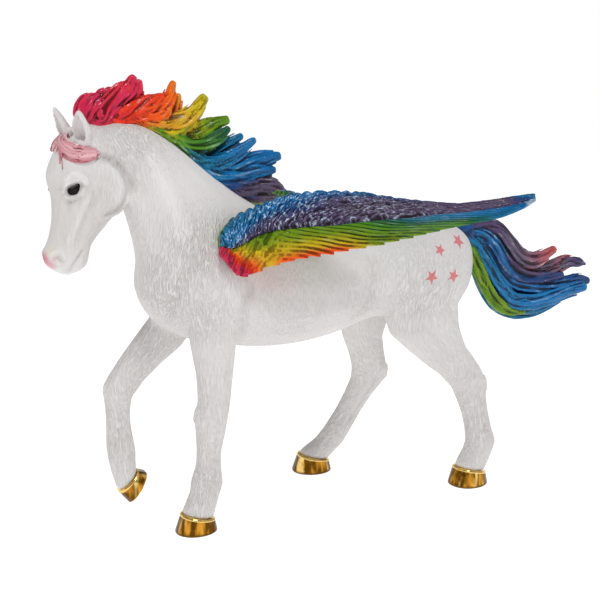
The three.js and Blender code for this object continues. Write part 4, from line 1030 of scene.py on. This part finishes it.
MANE_LOCKS = [  # x and z along the lock, half width, y, hue at root and tip, pale at root and tip
    ([(-75.4, 106.4), (-75.4, 109.2), (-74.0, 111.8), (-72.2, 113.2)], 2.5, -0.4, (0.01, 0.00), (0.3, 0.3)),
    ([(-73.8, 106.6), (-72.4, 109.6), (-70.2, 112.4), (-68.6, 114.8)], 2.6, 0.7, (0.01, 0.00), (0.2, 0.3)),
    ([(-71.2, 107.2), (-69.6, 110.6), (-66.8, 113.6), (-64.4, 115.6), (-63.2, 117.8)], 2.6, -0.7,
     (0.02, 0.01), (0.2, 0.3)),
    ([(-68.8, 107.6), (-66.6, 110.4), (-63.8, 112.6), (-61.8, 114.6), (-61.2, 116.8)], 2.4, 0.6,
     (0.04, 0.03), (0.1, 0.2)),
    ([(-66.6, 107.6), (-63.2, 109.4), (-60.0, 111.2), (-57.4, 112.6), (-55.9, 113.4)], 2.4, -0.6,
     (0.07, 0.11), (0, 0)),
    ([(-64.4, 107.2), (-59.8, 108.6), (-56.0, 110.4), (-53.8, 113.0), (-52.5, 116.6)], 2.3, 0.1,
     (0.10, 0.22), (0, 0)),
    ([(-61.8, 106.8), (-57.2, 107.4), (-53.6, 108.8), (-51.6, 111.0), (-50.7, 113.6)], 2.1, 1.1,
     (0.14, 0.27), (0, 0)),
    ([(-59.6, 106.0), (-54.8, 105.8), (-50.4, 107.0), (-47.6, 109.2), (-44.4, 113.2)], 3.0, -0.5,
     (0.20, 0.42), (0.1, 0)),
    ([(-57.4, 104.8), (-52.0, 103.4), (-47.0, 104.2), (-42.6, 106.4), (-38.0, 107.6)], 2.8, 0.3,
     (0.33, 0.53), (0.2, 0)),
    ([(-55.2, 103.6), (-50.0, 101.2), (-45.2, 101.4), (-41.2, 103.0), (-38.3, 105.2)], 2.3, -0.8,
     (0.46, 0.63), (0.8, 0.1)),
    ([(-52.8, 101.6), (-47.8, 98.6), (-42.8, 98.9), (-38.2, 101.0), (-34.0, 103.3)], 2.4, 0.6,
     (0.58, 0.74), (1.0, 0.2)),
    ([(-50.4, 99.4), (-45.4, 96.4), (-40.4, 96.9), (-35.6, 99.2), (-31.0, 102.2)], 2.4, -0.7,
     (0.66, 0.78), (1.0, 0.3)),
    ([(-48.2, 97.2), (-43.2, 94.2), (-37.8, 94.2), (-32.2, 96.2), (-27.0, 97.4), (-23.2, 98.0)], 2.8, 0.2,
     (0.72, 0.79), (1.0, 0.2)),
    ([(-45.8, 94.8), (-40.8, 92.4), (-35.4, 92.4), (-30.0, 93.8), (-25.2, 94.4)], 2.6, -0.7,
     (0.70, 0.80), (0.9, 0.4)),
    ([(-43.0, 92.8), (-38.2, 90.9), (-33.4, 91.0), (-28.8, 92.0), (-25.4, 93.0)], 1.9, 0.7,
     (0.74, 0.84), (0.6, 0.3)),
    ([(-37.8, 90.2), (-33.0, 90.2), (-28.2, 90.6), (-24.4, 90.4), (-22.4, 89.4)], 2.2, -0.2,
     (0.95, 1.01), (0.3, 0.4)),
    ([(-36.2, 89.2), (-31.8, 88.2), (-27.6, 87.4), (-23.6, 86.6)], 2.0, 0.3, (1.00, 1.02), (0.3, 0.4)),
]
MANE_BORDER = [(-75.6, 106.2), (-71.6, 107.4), (-67.9, 107.8), (-63.6, 107.4), (-60.0, 106.2), (-56.6, 104.4),
               (-53.4, 101.9), (-50.8, 99.8), (-47.5, 96.4), (-44.5, 93.6), (-41.2, 91.5), (-36.2, 89.3),
               (-31.8, 87.5), (-28.0, 86.2)]
BORDER_HUES = [0.00, 0.01, 0.03, 0.14, 0.24, 0.32, 0.38, 0.42, 0.60, 0.68, 0.72, 0.78, 0.90, 1.00]
BORDER_PALE = [0.2, 0.2, 0.1, 0.0, 0.1, 0.4, 0.9, 1.0, 0.9, 0.5, 0.3, 0.3, 0.2, 0.2]

mane = Hair((-79, -6, 82), (-18, 6, 120.5))
border_x, border_z = np.array(MANE_BORDER).T
for number, (path, half, aside, hues, pale) in enumerate(MANE_LOCKS):
    # Each lock lies along the border before it peels off.
    before = [(x, np.interp(x, border_x, border_z) + 0.7) for x in path[0][0] - np.array([6.5, 3.2])
              if x > border_x[0]]
    path = [(x, z) for x, z in before + path]
    swing = np.linspace(0.9, 1.3, len(path))
    mane.lock([(x, aside * s, z) for (x, z), s in zip(path, swing)], half, hues, pale,
              thick=2.2, blunt=0.60, crest=1.2, seed=number + 3)
# Thin locks lie over the gaps between the big ones, on both sides.
chance = np.random.default_rng(7)
for number, (one, two) in enumerate(zip(MANE_LOCKS[:-1], MANE_LOCKS[1:])):
    t = np.linspace(0, 1, 7)
    middle = 0.5 * (curve_through(one[0], 7) + curve_through(two[0], 7))
    bend = 0.9 * np.sin(t * math.pi * 2 + chance.uniform(0, 6))
    for side in (-1, 1):
        stop = chance.integers(3, 6)
        middle_y = side * (2.1 - 0.8 * t)
        path = np.stack([middle[:, 0] + 0.5 * bend, middle_y, middle[:, 1] + 0.5 * bend], axis=1)[:stop]
        mane.lock(path, chance.uniform(1.0, 1.4), [(a + b) / 2 for a, b in zip(one[3], two[3])],
                  [(a + b) / 2 for a, b in zip(one[4], two[4])], thick=1.1, blunt=0.5, seed=number + 130)
share = np.linspace(0, 1, 56)
knots = np.linspace(0, 1, len(MANE_BORDER))
for aside, rise, radius in ((0.0, 0.3, 1.5), (-1.1, 0.3, 1.1), (1.1, 0.3, 1.1), (-1.9, -0.1, 0.7), (1.9, -0.1, 0.7)):
    line = curve_through([(x, aside, z + rise) for x, z in MANE_BORDER], 56)
    mane.strand(line, radius * tapered(share, 0.08, 0.15), np.interp(share, knots, BORDER_HUES),
                np.interp(share, knots, BORDER_PALE))
hair_lacquer = lacquer("hair_lacquer", HAIR_COLOURS, valley_shade=0.50, pale_colour=(0.58, 0.62, 0.55),
                       gloss=0.7, glints=0.7)
hair_piece("mane_moulding", mane, hair_lacquer, "mane", mane.clear_of_casting(HAIR_SEAT))
del mane


# Forelock: a small moulding of curled strands, pegged between the ears. One thick lock sweeps under the
# left ear and thin strands hang over the brow. It is painted pink, with deeper pink in the lines.

# Hue number, deep colour for painted shade and bright colour for painted highlight, as for the mane.
FORELOCK_COLOURS = [(0.0, (0.26, 0.03, 0.05), (0.52, 0.17, 0.21)), (1.0, (0.40, 0.08, 0.12), (0.84, 0.54, 0.56))]
FORELOCK_SWEEP = [  # places on the turned head, from the knot to the tip, and the lock's half width there
    (-80.2, -0.9, 103.8, 1.0), (-81.6, -3.3, 103.0, 1.3), (-81.9, -5.7, 101.4, 1.7), (-80.2, -7.2, 99.9, 2.0),
    (-77.9, -7.9, 99.5, 1.9), (-75.6, -7.8, 99.6, 1.4), (-73.7, -7.3, 99.3, 0.5)]
FORELOCK_CURLS = [  # places, radius, hue
    ([(-80.2, -0.6, 103.8), (-82.1, -2.6, 102.6), (-82.9, -4.9, 100.9), (-83.1, -6.1, 99.2), (-83.2, -6.7, 97.2)],
     0.42, 0.3),
    ([(-80.4, -1.0, 103.6), (-82.2, -3.8, 102.4), (-82.8, -6.2, 100.4), (-82.8, -7.3, 98.2), (-82.8, -7.8, 95.9)],
     0.36, 0.1),
    ([(-80.0, -0.2, 103.9), (-82.0, -1.6, 102.8), (-83.1, -3.4, 101.0), (-83.4, -4.3, 99.4)], 0.50, 0.7),
    ([(-79.8, 0.0, 104.0), (-81.7, -0.4, 103.2), (-83.2, -1.2, 101.8), (-83.9, -1.8, 100.2)], 0.62, 0.9),
    ([(-79.6, 0.3, 104.1), (-81.2, 0.7, 103.6), (-82.9, 0.4, 102.2), (-84.0, -0.2, 100.2)], 0.72, 0.5),
    ([(-79.4, 0.5, 104.2), (-80.7, 1.6, 103.6), (-81.9, 2.2, 102.4), (-82.6, 2.0, 100.8)], 0.72, 0.8),
    ([(-79.2, 0.7, 104.2), (-80.2, 2.4, 103.4), (-80.6, 3.6, 102.2), (-80.2, 4.3, 100.8)], 0.62, 0.4),
]
FORELOCK_OVER = np.array([-75.5, 0.0, 97.5])  # the middle of the head, which the lock curls round

forelock = Hair((-87, -10.5, 93), (-70, 7, 109))
sweep = curve_through(FORELOCK_SWEEP, 26)
spine, spread = sweep[:, :3], sweep[:, 3]
t = np.linspace(0, 1, len(spine))
ahead = unit(np.gradient(spine, axis=0))
away = spine - FORELOCK_OVER
away = unit(away - ahead * np.einsum("ij,ij->i", away, ahead)[:, None])
wide = np.cross(ahead, away)
core = np.maximum(0.62 * spread, 0.4)
forelock.strand(spine - away * (core + 0.05)[:, None], core, 0 * t, 0 * t)
forelock.strand(spine, spread, 0 * t, 0 * t, (wide, away, 1.0), solid=False)
chance = np.random.default_rng(11)
for place in np.linspace(-1, 1, 7):
    wave = 0.25 * np.sin(6 * t + chance.uniform(0, 6))
    lift = 0.40 * math.sqrt(1.1 - place * place) + chance.uniform(-0.1, 0.25)
    line = spine + wide * (place * spread + wave * (1 - t))[:, None] + away * (lift + 0.6 * wave)[:, None]
    end = int(len(t) * chance.uniform(0.88, 1.0))
    radii = chance.uniform(0.27, 0.36) * np.interp(t, [0, 0.1, 0.85, 1], [0.7, 1, 1, 0.6])
    forelock.strand(line[:end], radii[:end], (chance.random() + 0 * t)[:end], (0.7 * chance.random() + 0 * t)[:end])
for path, radius, hue in FORELOCK_CURLS:
    line = curve_through(path, 14)
    run = np.linspace(0, 1, 14)
    for shift in (-0.5, 0.5) if radius > 0.55 else (0,):
        radii = radius * (0.75 if radius > 0.55 else 1) * np.interp(run, [0, 0.2, 1], [0.8, 1, 0.5])
        forelock.strand(line + np.array([0, shift, 0.3 * shift]) * radius, radii, hue + shift * 0.4 + 0 * run,
                        0.3 + 0 * run)
forelock_paint = lacquer("forelock_pink", FORELOCK_COLOURS, valley_shade=0.7, pale_colour=(0.86, 0.68, 0.70),
                         gloss=0.2, glints=0.6, scratches=0.9)
hair_piece("forelock_moulding", forelock, forelock_paint, "forelock", forelock.clear_of_casting(HAIR_SEAT))
del forelock


# Tail: one vinyl moulding, plugged into the dock by a tenon and lacquered like the mane. Its long locks
# leave the dock together, fall and lick up at the ends. Purple and red lie on top, blue and teal in the
# middle, and lime runs down its front edge.

TAIL_FULLNESS = 1.06  # of the locks' widths
TAIL_PALENESS = 0.6  # of the locks' pale strokes
TAIL_LOCKS = [  # x and z, half width, y, hues, pale
    ([(36.0, 75.4), (43.0, 76.2), (49.0, 74.8), (53.6, 70.6), (58.2, 66.2), (63.2, 64.4), (67.8, 65.6),
      (71.6, 67.3)], 2.5, -0.6, (0.90, 1.10), (0.8, 0.3)),
    ([(36.0, 75.0), (43.0, 74.6), (49.2, 71.0), (53.2, 65.8), (58.4, 62.0), (64.4, 60.4), (70.4, 60.4),
      (75.4, 61.6), (79.6, 62.8), (82.4, 62.4)], 2.5, 0.8, (0.86, 1.11), (0.9, 0.2)),
    ([(74.0, 61.2), (78.6, 62.8), (82.0, 62.7), (85.0, 62.0)], 1.2, -0.4, (1.0, 0.90), (0.2, 0.0)),
    ([(36.0, 75.2), (42.8, 74.4), (48.2, 70.4), (51.8, 64.6), (56.0, 60.4), (62.0, 58.6), (68.6, 58.4),
      (74.6, 59.2)], 2.1, -1.2, (0.78, 0.90), (1.0, 0.5)),
    ([(36.0, 74.6), (42.4, 72.8), (47.2, 67.4), (51.0, 61.2), (56.4, 57.0), (63.6, 55.6), (70.8, 55.2),
      (78.0, 55.9), (83.6, 56.8), (87.0, 56.2)], 2.5, 0.3, (0.76, 0.85), (1.0, 0.5)),
    ([(36.0, 74.0), (41.4, 70.8), (45.8, 64.6), (49.8, 57.8), (55.2, 52.8), (62.4, 51.2), (70.4, 51.9),
      (77.8, 53.6), (84.6, 54.4)], 2.8, -0.7, (0.74, 0.79), (0.8, 0.6)),
    ([(36.0, 73.6), (40.8, 69.8), (44.4, 63.2), (48.0, 56.6), (52.6, 51.2), (58.6, 48.8), (65.6, 48.7),
      (72.6, 50.4), (78.4, 52.2)], 2.4, 0.8, (0.66, 0.77), (0.5, 0.4)),
    ([(36.0, 73.2), (40.0, 69.6), (43.4, 63.4), (46.8, 57.2), (50.8, 52.2), (55.4, 49.4), (60.2, 48.4)],
     2.0, -0.9, (0.54, 0.48), (0.0, 0.0)),
    ([(37.6, 71.6), (41.2, 66.8), (44.2, 60.8), (47.2, 55.8), (50.2, 52.9)], 1.5, 0.6, (0.64, 0.67), (0.0, 0.0)),
    ([(37.0, 72.6), (40.4, 68.6), (43.0, 63.4), (45.4, 59.2), (47.6, 57.0)], 1.5, -1.2, (0.50, 0.49), (0.0, 0.0)),
]

tail = Hair((29, -7, 43), (90, 7, 82))
for number, (path, half, aside, hues, pale) in enumerate(TAIL_LOCKS):
    swing = np.linspace(0.3, 1.4, len(path))
    tail.lock([(x, aside * s, z) for (x, z), s in zip(path, swing)], TAIL_FULLNESS * half, hues,
              TAIL_PALENESS * np.array(pale), thick=2.7, blunt=0.76, crest=1.4, seed=80 + number)
tenon = np.array([(31.0, 0, 75.2), (34.0, 0, 75.2), (38.5, 0, 74.6)])
tail.strand(tenon, np.array([2.9, 2.9, 3.0]), np.array([0.85, 0.85, 0.85]), np.zeros(3))
hair_piece("tail_moulding", tail, hair_lacquer, "tail")
del tail


# Wings: two vinyl mouldings plugged into the shoulders by a tang. The arm is a thick band of bristly small
# feathers, blue over grey purple, with scalloped edges; below its lip long flight feathers run out in fine
# ribs, from crimson at the shoulder through yellow and green to blue at the tip.

WING_SEAT = np.array([-37.206, -13.0, 77.0])
WING_EDGES = np.array([  # top edge x y z and low edge x y z from the seat, from shoulder to tip
    (-8.3, -1, 2.4, -8.6, -1.8, -3.0), (-4.1, 0.1, 6.6, -3.6, -2.6, -9.0), (4, -0.5, 9.9, 1.9, -6.8, -6.6),
    (10.8, -3, 11.9, 8.9, -13.6, -3.6), (18.5, -7, 12.7, 16.5, -19.6, -1.5), (26.6, -12, 12, 25.1, -25.6, 0.7),
    (35.8, -18, 10.1, 34.1, -29.6, 3), (45.4, -23.5, 9.4, 43.5, -32.4, 5), (54, -27.4, 10.4, 52.9, -34, 6.5),
    (60.5, -29.8, 11.5, 59.9, -34.2, 8.6), (65.5, -31.8, 12.2, 64.7, -33.2, 10.4)])
WING_DROOP = math.radians(4.5)  # of the right wing
ROOT_SEAT, DEEPEST_SEAT = 0.5, 0.6  # how far the root, and at most any of it, goes under the white skin
RIBS = 25  # flight feathers' ribs along the wing
RIB_SLANT = 0.26
LIP = [(0, 0.60), (0.1, 0.50), (0.2, 0.47), (0.3, 0.54), (0.4, 0.59), (0.5, 0.57), (0.6, 0.53), (0.66, 0.46),
       (0.8, 0.50), (0.9, 0.66), (1, 0.80)]  # share of the wing's depth that the arm takes
ARM_THICK = [(0, 1.5), (0.06, 2.5), (0.3, 2.4), (0.6, 1.7), (0.66, 1.5), (0.72, 0.9), (1, 0.5)]
FLIGHT_HUES = {  # from the lip to the trailing edge: place along the wing and hue
    0.00: [(0, 0.0), (0.03, 0.0), (0.06, 0.44), (0.2, 0.50), (0.38, 0.51), (0.45, 0.55), (0.52, 0.62),
           (0.58, 0.71), (0.7, 0.76), (1, 0.78)],
    0.35: [(0, 0.0), (0.07, 0.02), (0.1, 0.2), (0.14, 0.42), (0.2, 0.47), (0.4, 0.46), (0.48, 0.52), (0.55, 0.60),
           (0.62, 0.68), (0.72, 0.75), (1, 0.79)],
    0.70: [(0, 0.0), (0.12, 0.0), (0.15, 0.18), (0.19, 0.36), (0.34, 0.38), (0.42, 0.42), (0.48, 0.48), (0.6, 0.53),
           (0.7, 0.60), (0.8, 0.74), (1, 0.80)],
    1.00: [(0, 0.0), (0.14, 0.0), (0.17, 0.15), (0.2, 0.35), (0.22, 0.35), (0.25, 0.15), (0.4, 0.14), (0.44, 0.34),
           (0.48, 0.46), (0.6, 0.51), (0.7, 0.57), (0.8, 0.72), (1, 0.80)],
}
ARM_HUES = {  # from the top edge to the lip
    0.00: [(0, 0.62), (0.05, 0.70), (0.3, 0.74), (0.5, 0.78), (0.62, 0.86), (0.72, 0.94), (0.88, 0.94), (0.92, 0.58),
           (1, 0.54)],
    0.12: [(0, 0.74), (0.4, 0.77), (0.55, 0.82), (0.66, 0.90), (0.86, 0.95), (0.92, 0.70), (1, 0.62)],
    0.40: [(0, 0.75), (0.2, 0.76), (0.3, 0.80), (0.4, 0.92), (0.5, 0.96), (0.85, 0.97), (0.94, 0.78), (1, 0.74)],
    0.70: [(0, 0.75), (0.10, 0.77), (0.18, 0.90), (0.5, 0.98), (0.85, 0.97), (0.95, 0.86), (1, 0.78)],
    1.00: [(0, 0.66), (0.05, 0.82), (0.1, 0.94), (0.5, 0.97), (0.85, 0.95), (0.95, 0.84), (1, 0.74)],
}
ALONG, DOWN = 520, 132


def table_at(rows, down, along):
    """Values between the rows of a table, whose keys are places down and whose rows are places along."""
    keys = sorted(rows)
    lines = np.stack([np.interp(along, *zip(*rows[key])) for key in keys])
    place = np.clip(np.interp(down, keys, np.arange(len(keys))), 0, len(keys) - 1.001)
    low = place.astype(int)
    picked = [np.take_along_axis(lines, (low + step)[None], axis=0)[0] for step in (0, 1)]
    return picked[0] + (place - low) * (picked[1] - picked[0])


def gap_to_coat(points):
    """Distances to the white skin, negative inside it."""
    inside = np.clip(points.reshape(-1, 3), (-90, -25, 0), (44, 25, 114))
    return white.at(whole, inside).reshape(points.shape[:-1])


t = np.linspace(0, 1, ALONG)
edges = curve_through(WING_EDGES, ALONG)
top, low = edges[:, :3] + WING_SEAT, edges[:, 3:] + WING_SEAT
lip = np.interp(t, *zip(*LIP))[:, None]
column = np.linspace(0, 1, DOWN)[None, :]
v = np.where(column < 0.5, lip * 2 * column, lip + (1 - lip) * (2 * column - 1))
t, lip = np.broadcast_to(t[:, None], v.shape), np.broadcast_to(lip, v.shape)
on_arm = column < 0.5 + 0 * v
flight = np.clip((v - lip) / (1 - lip), 0, 1)  # 0 at the lip, 1 at the trailing edge
arm = np.clip(v / lip, 0, 1)
depth_of_wing = np.linalg.norm(low - top, axis=1)[:, None]

# Flight feathers: slanted ribs, each a blade that ends in its own step of the trailing edge. Near the
# shoulder they break up into short feathers.
rib = (t - RIB_SLANT * flight) * RIBS + 0.35 * np.sin(9 * t + 2.1) + 0.2 * np.sin(23 * t + 5 * flight)
across = rib - np.floor(rib)
blade_ridge = np.sqrt(np.maximum(1 - (1.1 * across - 0.1 - 0.45) ** 2 / 0.3, 0))
rib_step = across * np.interp(t, [0, 0.2, 0.6, 0.8, 1], [0.4, 1, 1, 0.4, 0.1])
ragged = np.modf(np.sin(np.floor(rib) * 12.99) * 437.58)[0]  # from -1 to 1, one value a rib
reach = 0.93 + (0.085 + 0.035 * ragged) * rib_step
depth = np.where(on_arm, v, lip + (v - lip) * reach)
# Small feathers scallop the top edge.
scallop = np.abs(np.sin(math.pi * (t * 30 + 0.2 * np.sin(40 * t)))) ** 0.7
depth = np.where(on_arm, depth + (0.045 * (1 - scallop) * np.interp(t, [0, 0.55, 0.7], [1, 1, 0.0])
                                  * (1 - arm) ** 2), depth)
surface = top[:, None, :] * (1 - depth[..., None]) + low[:, None, :] * depth[..., None]
out = unit(np.cross(np.gradient(surface, axis=0), (low - top)[:, None, :] + 0 * surface))
out = np.where(out[..., 1:2] > 0, -out, out)
run = np.concatenate([[0], np.cumsum(np.linalg.norm(np.diff(surface[:, 0], axis=0), axis=1))])[:, None] + 0 * v
drop = v * depth_of_wing

# Bristles: short strokes whose way changes along the arm; each guide has a place along and a tilt.
bristles, total = 0, 0
for number, (place, tilt) in enumerate(((0.06, 100), (0.16, 70), (0.28, 42), (0.42, 22), (0.56, 14), (0.72, 4))):
    weight = np.exp(-0.5 * ((t - place) / 0.06) ** 2) + 1e-6
    turn = math.radians(tilt)
    s = run * math.cos(turn) - drop * math.sin(turn)
    n = run * math.sin(turn) + drop * math.cos(turn)
    flat = np.stack([s, n, 0 * s], -1).reshape(-1, 3)
    strokes = drift(flat, (1.7, 0.36, 1), 60 + number) + 0.5 * drift(flat, (0.9, 0.26, 1), 70 + number)
    bristles, total = bristles + weight * strokes.reshape(v.shape), total + weight
bristles = bristles / total
bristle_ridge = np.clip(1 - np.abs(bristles) * 2.0, 0, 1)  # thin raised strokes
bristly = np.interp(t, [0, 0.62, 0.70, 1], [1, 1, 0.35, 0.25])
blade_lines = 0.5 + 0.5 * np.sin(2 * math.pi * (arm * 5 + 0.8 * np.sin(6 * t)))
arm_crown = bristle_ridge * bristly + blade_lines * (1 - bristly)

thick = np.interp(t, *zip(*ARM_THICK))
blade = 0.62 * (1 - 0.45 * flight) * np.interp(t, [0, 0.1, 0.7, 1], [1.5, 1, 0.7, 0.5])
bulge = np.sqrt(np.maximum(1 - (np.abs(arm - 0.5) / 0.55) ** 2.6, 0))
tuck = ramp(arm, 1.0, 0.955)
arm_height = blade * 0.5 + (thick - blade * 0.5) * bulge * ramp(arm, 0.0, 0.10) * (0.15 + 0.85 * tuck)
height = np.where(on_arm, arm_height, blade)
arm_bump = (0.30 * bristle_ridge * bristly + 0.10 * blade_lines * (1 - bristly)) * ramp(arm, 0.0, 0.06) * tuck
bump = np.where(on_arm, arm_bump, 0.42 * (blade_ridge - 0.5) * ramp(flight, 0.0, 0.05))
short = ramp(t, 0.34, 0.20) * (~on_arm)  # broken up near the shoulder
flat = np.stack([run * 0.8 - drop * 0.6, run * 0.6 + drop * 0.8, 0 * run], -1).reshape(-1, 3)
tufts = (drift(flat, (2.4, 0.9, 1), 90) + 0.5 * drift(flat, (1.3, 0.5, 1), 91)).reshape(v.shape)
bump = bump * (1 - 0.7 * short) + 0.35 * np.clip(1 - 2.2 * np.abs(tufts), 0, 1) * short
closing = np.clip(t / 0.035, 0, 1)
closing = np.sqrt(closing * (2 - closing)) * np.sqrt(np.clip((1 - t) / 0.014, 0, 1))
closing = closing * np.sqrt(np.clip((1 - flight) / 0.06, 0, 1))
closing = closing * np.sqrt(np.clip(arm / 0.08, 0.0, 1))
outer = (height + bump) * closing
inner = (blade * 0.5 + 0.5 * thick * bulge * on_arm + 0.4 * bump) * closing
face_out = surface + out * outer[..., None]
face_in = surface - out * inner[..., None]

# At the root the inner side swells to the shoulder and is seated a little under the white skin.
root_gap = np.zeros_like(v)
for _ in range(9):
    left = gap_to_coat(face_in - out * root_gap[..., None]) + ROOT_SEAT
    root_gap = np.clip(root_gap + np.clip(left, -1.0, 2.0), 0, 8.5)
for _ in range(30):
    padded = np.pad(root_gap, 1, mode="edge")
    root_gap = (padded[:-2, 1:-1] + padded[2:, 1:-1] + padded[1:-1, :-2] + padded[1:-1, 2:]) / 4
seat = ramp(t + 0.07 * (1 - v), 0.24, 0.10) * ramp(v, 0.04, 0.30) * ramp(v, 1.0, 0.80) * ramp(t, 0.0, 0.03)
face_in = face_in - out * (root_gap * seat)[..., None]

# No part of the inner side goes deeper into the barrel than the deepest seat.
for _ in range(3):
    gap = gap_to_coat(face_in)
    face_in = face_in + out * (np.maximum(-DEEPEST_SEAT - gap, 0) * (np.abs(face_in[..., 1]) < 20))[..., None]
lift = np.einsum("ijk,ijk->ij", face_out - face_in, out)
face_out = face_out + out * np.maximum(0.3 * closing + 0.4 * bump - lift, 0)[..., None]

hue = np.where(on_arm, table_at(ARM_HUES, arm, t), table_at(FLIGHT_HUES, flight, t))
tuft_ridge = np.clip(1 - 2.0 * np.abs(tufts), 0, 1)
# crown brings painted highlight to the crests of bristles, ribs and tufts; crease brings painted shade to the
# grooves between bristles and ribs and along both sides of the arm's lower lip.
crown = np.where(on_arm, 0.25 + 0.65 * arm_crown, blade_ridge * (1 - short) + (0.3 + 0.6 * tuft_ridge) * short)
broken = drift(np.stack([run * 0.5, rib, 0 * run], -1).reshape(-1, 3), (1, 1, 1), 95).reshape(v.shape)
groove = np.maximum(ramp(across, 0.12, 0.02), ramp(across, 0.90, 0.99)) * ramp(broken, -0.7, 0.1) * (1 - short)
groove = np.maximum(groove, 0.28 * ramp(tufts, 0.25, 0.5) * short) * ramp(flight, 1.0, 0.9)
crease = np.where(on_arm, 0.30 * ramp(arm_crown, 0.25, 0.0) + 0.3 * ramp(arm, 0.94, 1.0),
                  0.75 * groove + 0.5 * ramp(flight, 0.05, 0.0))
frost = np.interp(t, [0, 0.04, 0.12, 0.3, 0.6, 0.66, 0.8, 0.92, 1], [0.6, 0.9, 0.9, 1.0, 0.7, 0.6, 0.3, 0.6, 0.8])
frost = frost * ramp(arm, 0.04, 0.2) * ramp(arm_crown, 0.62, 0.92)
lip_light = 0.5 * ramp(arm, 0.84, 0.93) * ramp(t, 0.5, 0.58) * ramp(t, 0.70, 0.67)
tip_light = ramp(t, 0.9, 0.95) * ramp(v, 0.55, 0.8)
pale = np.where(on_arm, np.maximum(frost, lip_light), 0.12 * (across > 0.55) * ramp(t, 0.3, 0.2)) + tip_light
comb = np.stack([run, np.where(on_arm, drop * 2.0, rib * 1.7), 0 * run], -1)
wing_lacquer = lacquer("wing_lacquer", HAIR_COLOURS, valley_shade=0.65, pale_colour=(0.48, 0.62, 0.72),
                       gloss=0.55, glints=0.5)

pivot = np.array([WING_SEAT[0], 0, WING_SEAT[2]])
for side, node in ((-1, "left_wing"), (1, "right_wing")):
    sheets = []
    for sheet in (face_out, face_in):
        placed = (sheet - pivot) * np.array([1, -side, 1])
        if side > 0:
            placed = turned(placed, 2, 0, WING_DROOP)
        sheets.append((placed + pivot).reshape(-1, 3))
    points = np.vstack(sheets)
    half = ALONG * DOWN
    i, j = np.meshgrid(np.arange(ALONG - 1), np.arange(DOWN - 1), indexing="ij")
    a = i * DOWN + j
    front = np.stack([a, a + 1, a + DOWN + 1, a + DOWN], axis=-1).reshape(-1, 4)
    rim = np.concatenate([np.arange(DOWN), np.arange(1, ALONG) * DOWN + DOWN - 1,
                          (ALONG - 1) * DOWN + np.arange(DOWN - 2, -1, -1), np.arange(ALONG - 2, 0, -1) * DOWN])
    after = np.roll(rim, -1)
    quads = np.concatenate([front, front[:, ::-1] + half, np.stack([after, rim, rim + half, after + half], axis=1)])
    quads, _ = facing_out(points, quads, quads[:0, :3])
    # Behind the arm the inner face is lime, turning teal outward.
    inner_hue = np.where(on_arm, 0.48 + 0.20 * ramp(t, 0.35, 0.6) + 0.06 * arm, hue)
    marks = {key: np.concatenate([values.ravel(), inside.ravel()]) for key, values, inside in (
        ("hue", hue, inner_hue), ("pale", pale, 0.3 * pale), ("crown", crown, crown), ("crease", crease, crease))}
    marks["comb"] = np.vstack([comb.reshape(-1, 3)] * 2)
    mesh = mesh_of(node + "_moulding", points, [quads], marks)
    add_piece(node + "_moulding", mesh, wing_lacquer, node)


# Stage: a white table under an even white light, and the camera a little above the horse's back, to its
# left and front.

def stage():
    material, place, mark, shader = new_paint("white_table")
    tint = place.grain((0.01, 0.01, 0.01), 2.0).choose((0.48, 0.48, 0.48), (0.5, 0.5, 0.5))
    put(material, shader, {"Base Color": tint}, {"Roughness": 0.8, "Emission Color": (1, 1, 1, 1),
                                                 "Emission Strength": 0.85})
    reach = 2.5
    mesh = bpy.data.meshes.new("table_top")
    mesh.from_pydata([(-reach, -reach, 0), (reach, -reach, 0), (reach, reach, 0), (-reach, reach, 0)], [],
                     [(0, 1, 2, 3)])
    mesh.materials.append(material)
    table = bpy.data.objects.new("table_top", mesh)
    bpy.context.scene.collection.objects.link(table)


stage()
world = bpy.data.worlds.new("studio")
bpy.context.scene.world = world
world.use_nodes = True
nodes, links = world.node_tree.nodes, world.node_tree.links
# Bright walls all round, with a dimmer ceiling.
upward = nodes.new("ShaderNodeSeparateXYZ")
links.new(nodes.new("ShaderNodeTexCoord").outputs["Generated"], upward.inputs[0])
walls = nodes.new("ShaderNodeValToRGB")
walls.color_ramp.elements[0].position, walls.color_ramp.elements[0].color = 0.16, (1, 1, 1, 1)
walls.color_ramp.elements[1].position, walls.color_ramp.elements[1].color = 0.34, (0.30, 0.30, 0.31, 1)
links.new(upward.outputs[2], walls.inputs[0])
links.new(walls.outputs[0], nodes["Background"].inputs["Color"])
nodes["Background"].inputs["Strength"].default_value = 1.0

for name, place, size, power in (("key", (-0.10, -0.38, 0.85), 0.2, 3.4), ("fill", (0.6, -0.4, 0.5), 0.6, 0.35)):
    light = bpy.data.lights.new(name, "AREA")
    light.size, light.energy = size, power
    lamp = bpy.data.objects.new(name, light)
    lamp.location = place
    lamp.rotation_euler = (Vector((0, 0, 0.06)) - Vector(place)).to_track_quat("-Z", "Y").to_euler()
    bpy.context.scene.collection.objects.link(lamp)

CAMERA_AWAY = 0.268  # metres
camera_data = bpy.data.cameras.new("camera")
camera_data.lens, camera_data.sensor_width = 57, 36
camera = bpy.data.objects.new("camera", camera_data)
look_at = Vector((-0.016706, 0, 0.0578))
azimuth, elevation = math.radians(-25), math.radians(10.4)
back = Vector((math.sin(azimuth) * math.cos(elevation), -math.cos(azimuth) * math.cos(elevation),
               math.sin(elevation)))
camera.location = look_at + CAMERA_AWAY * back
camera.rotation_euler = (-back).to_track_quat("-Z", "Y").to_euler()
camera_data.clip_start, camera_data.clip_end = 0.01, 20
bpy.context.scene.collection.objects.link(camera)
bpy.context.scene.camera = camera
bpy.context.scene.view_settings.view_transform = "Standard"

low, high = cad_box
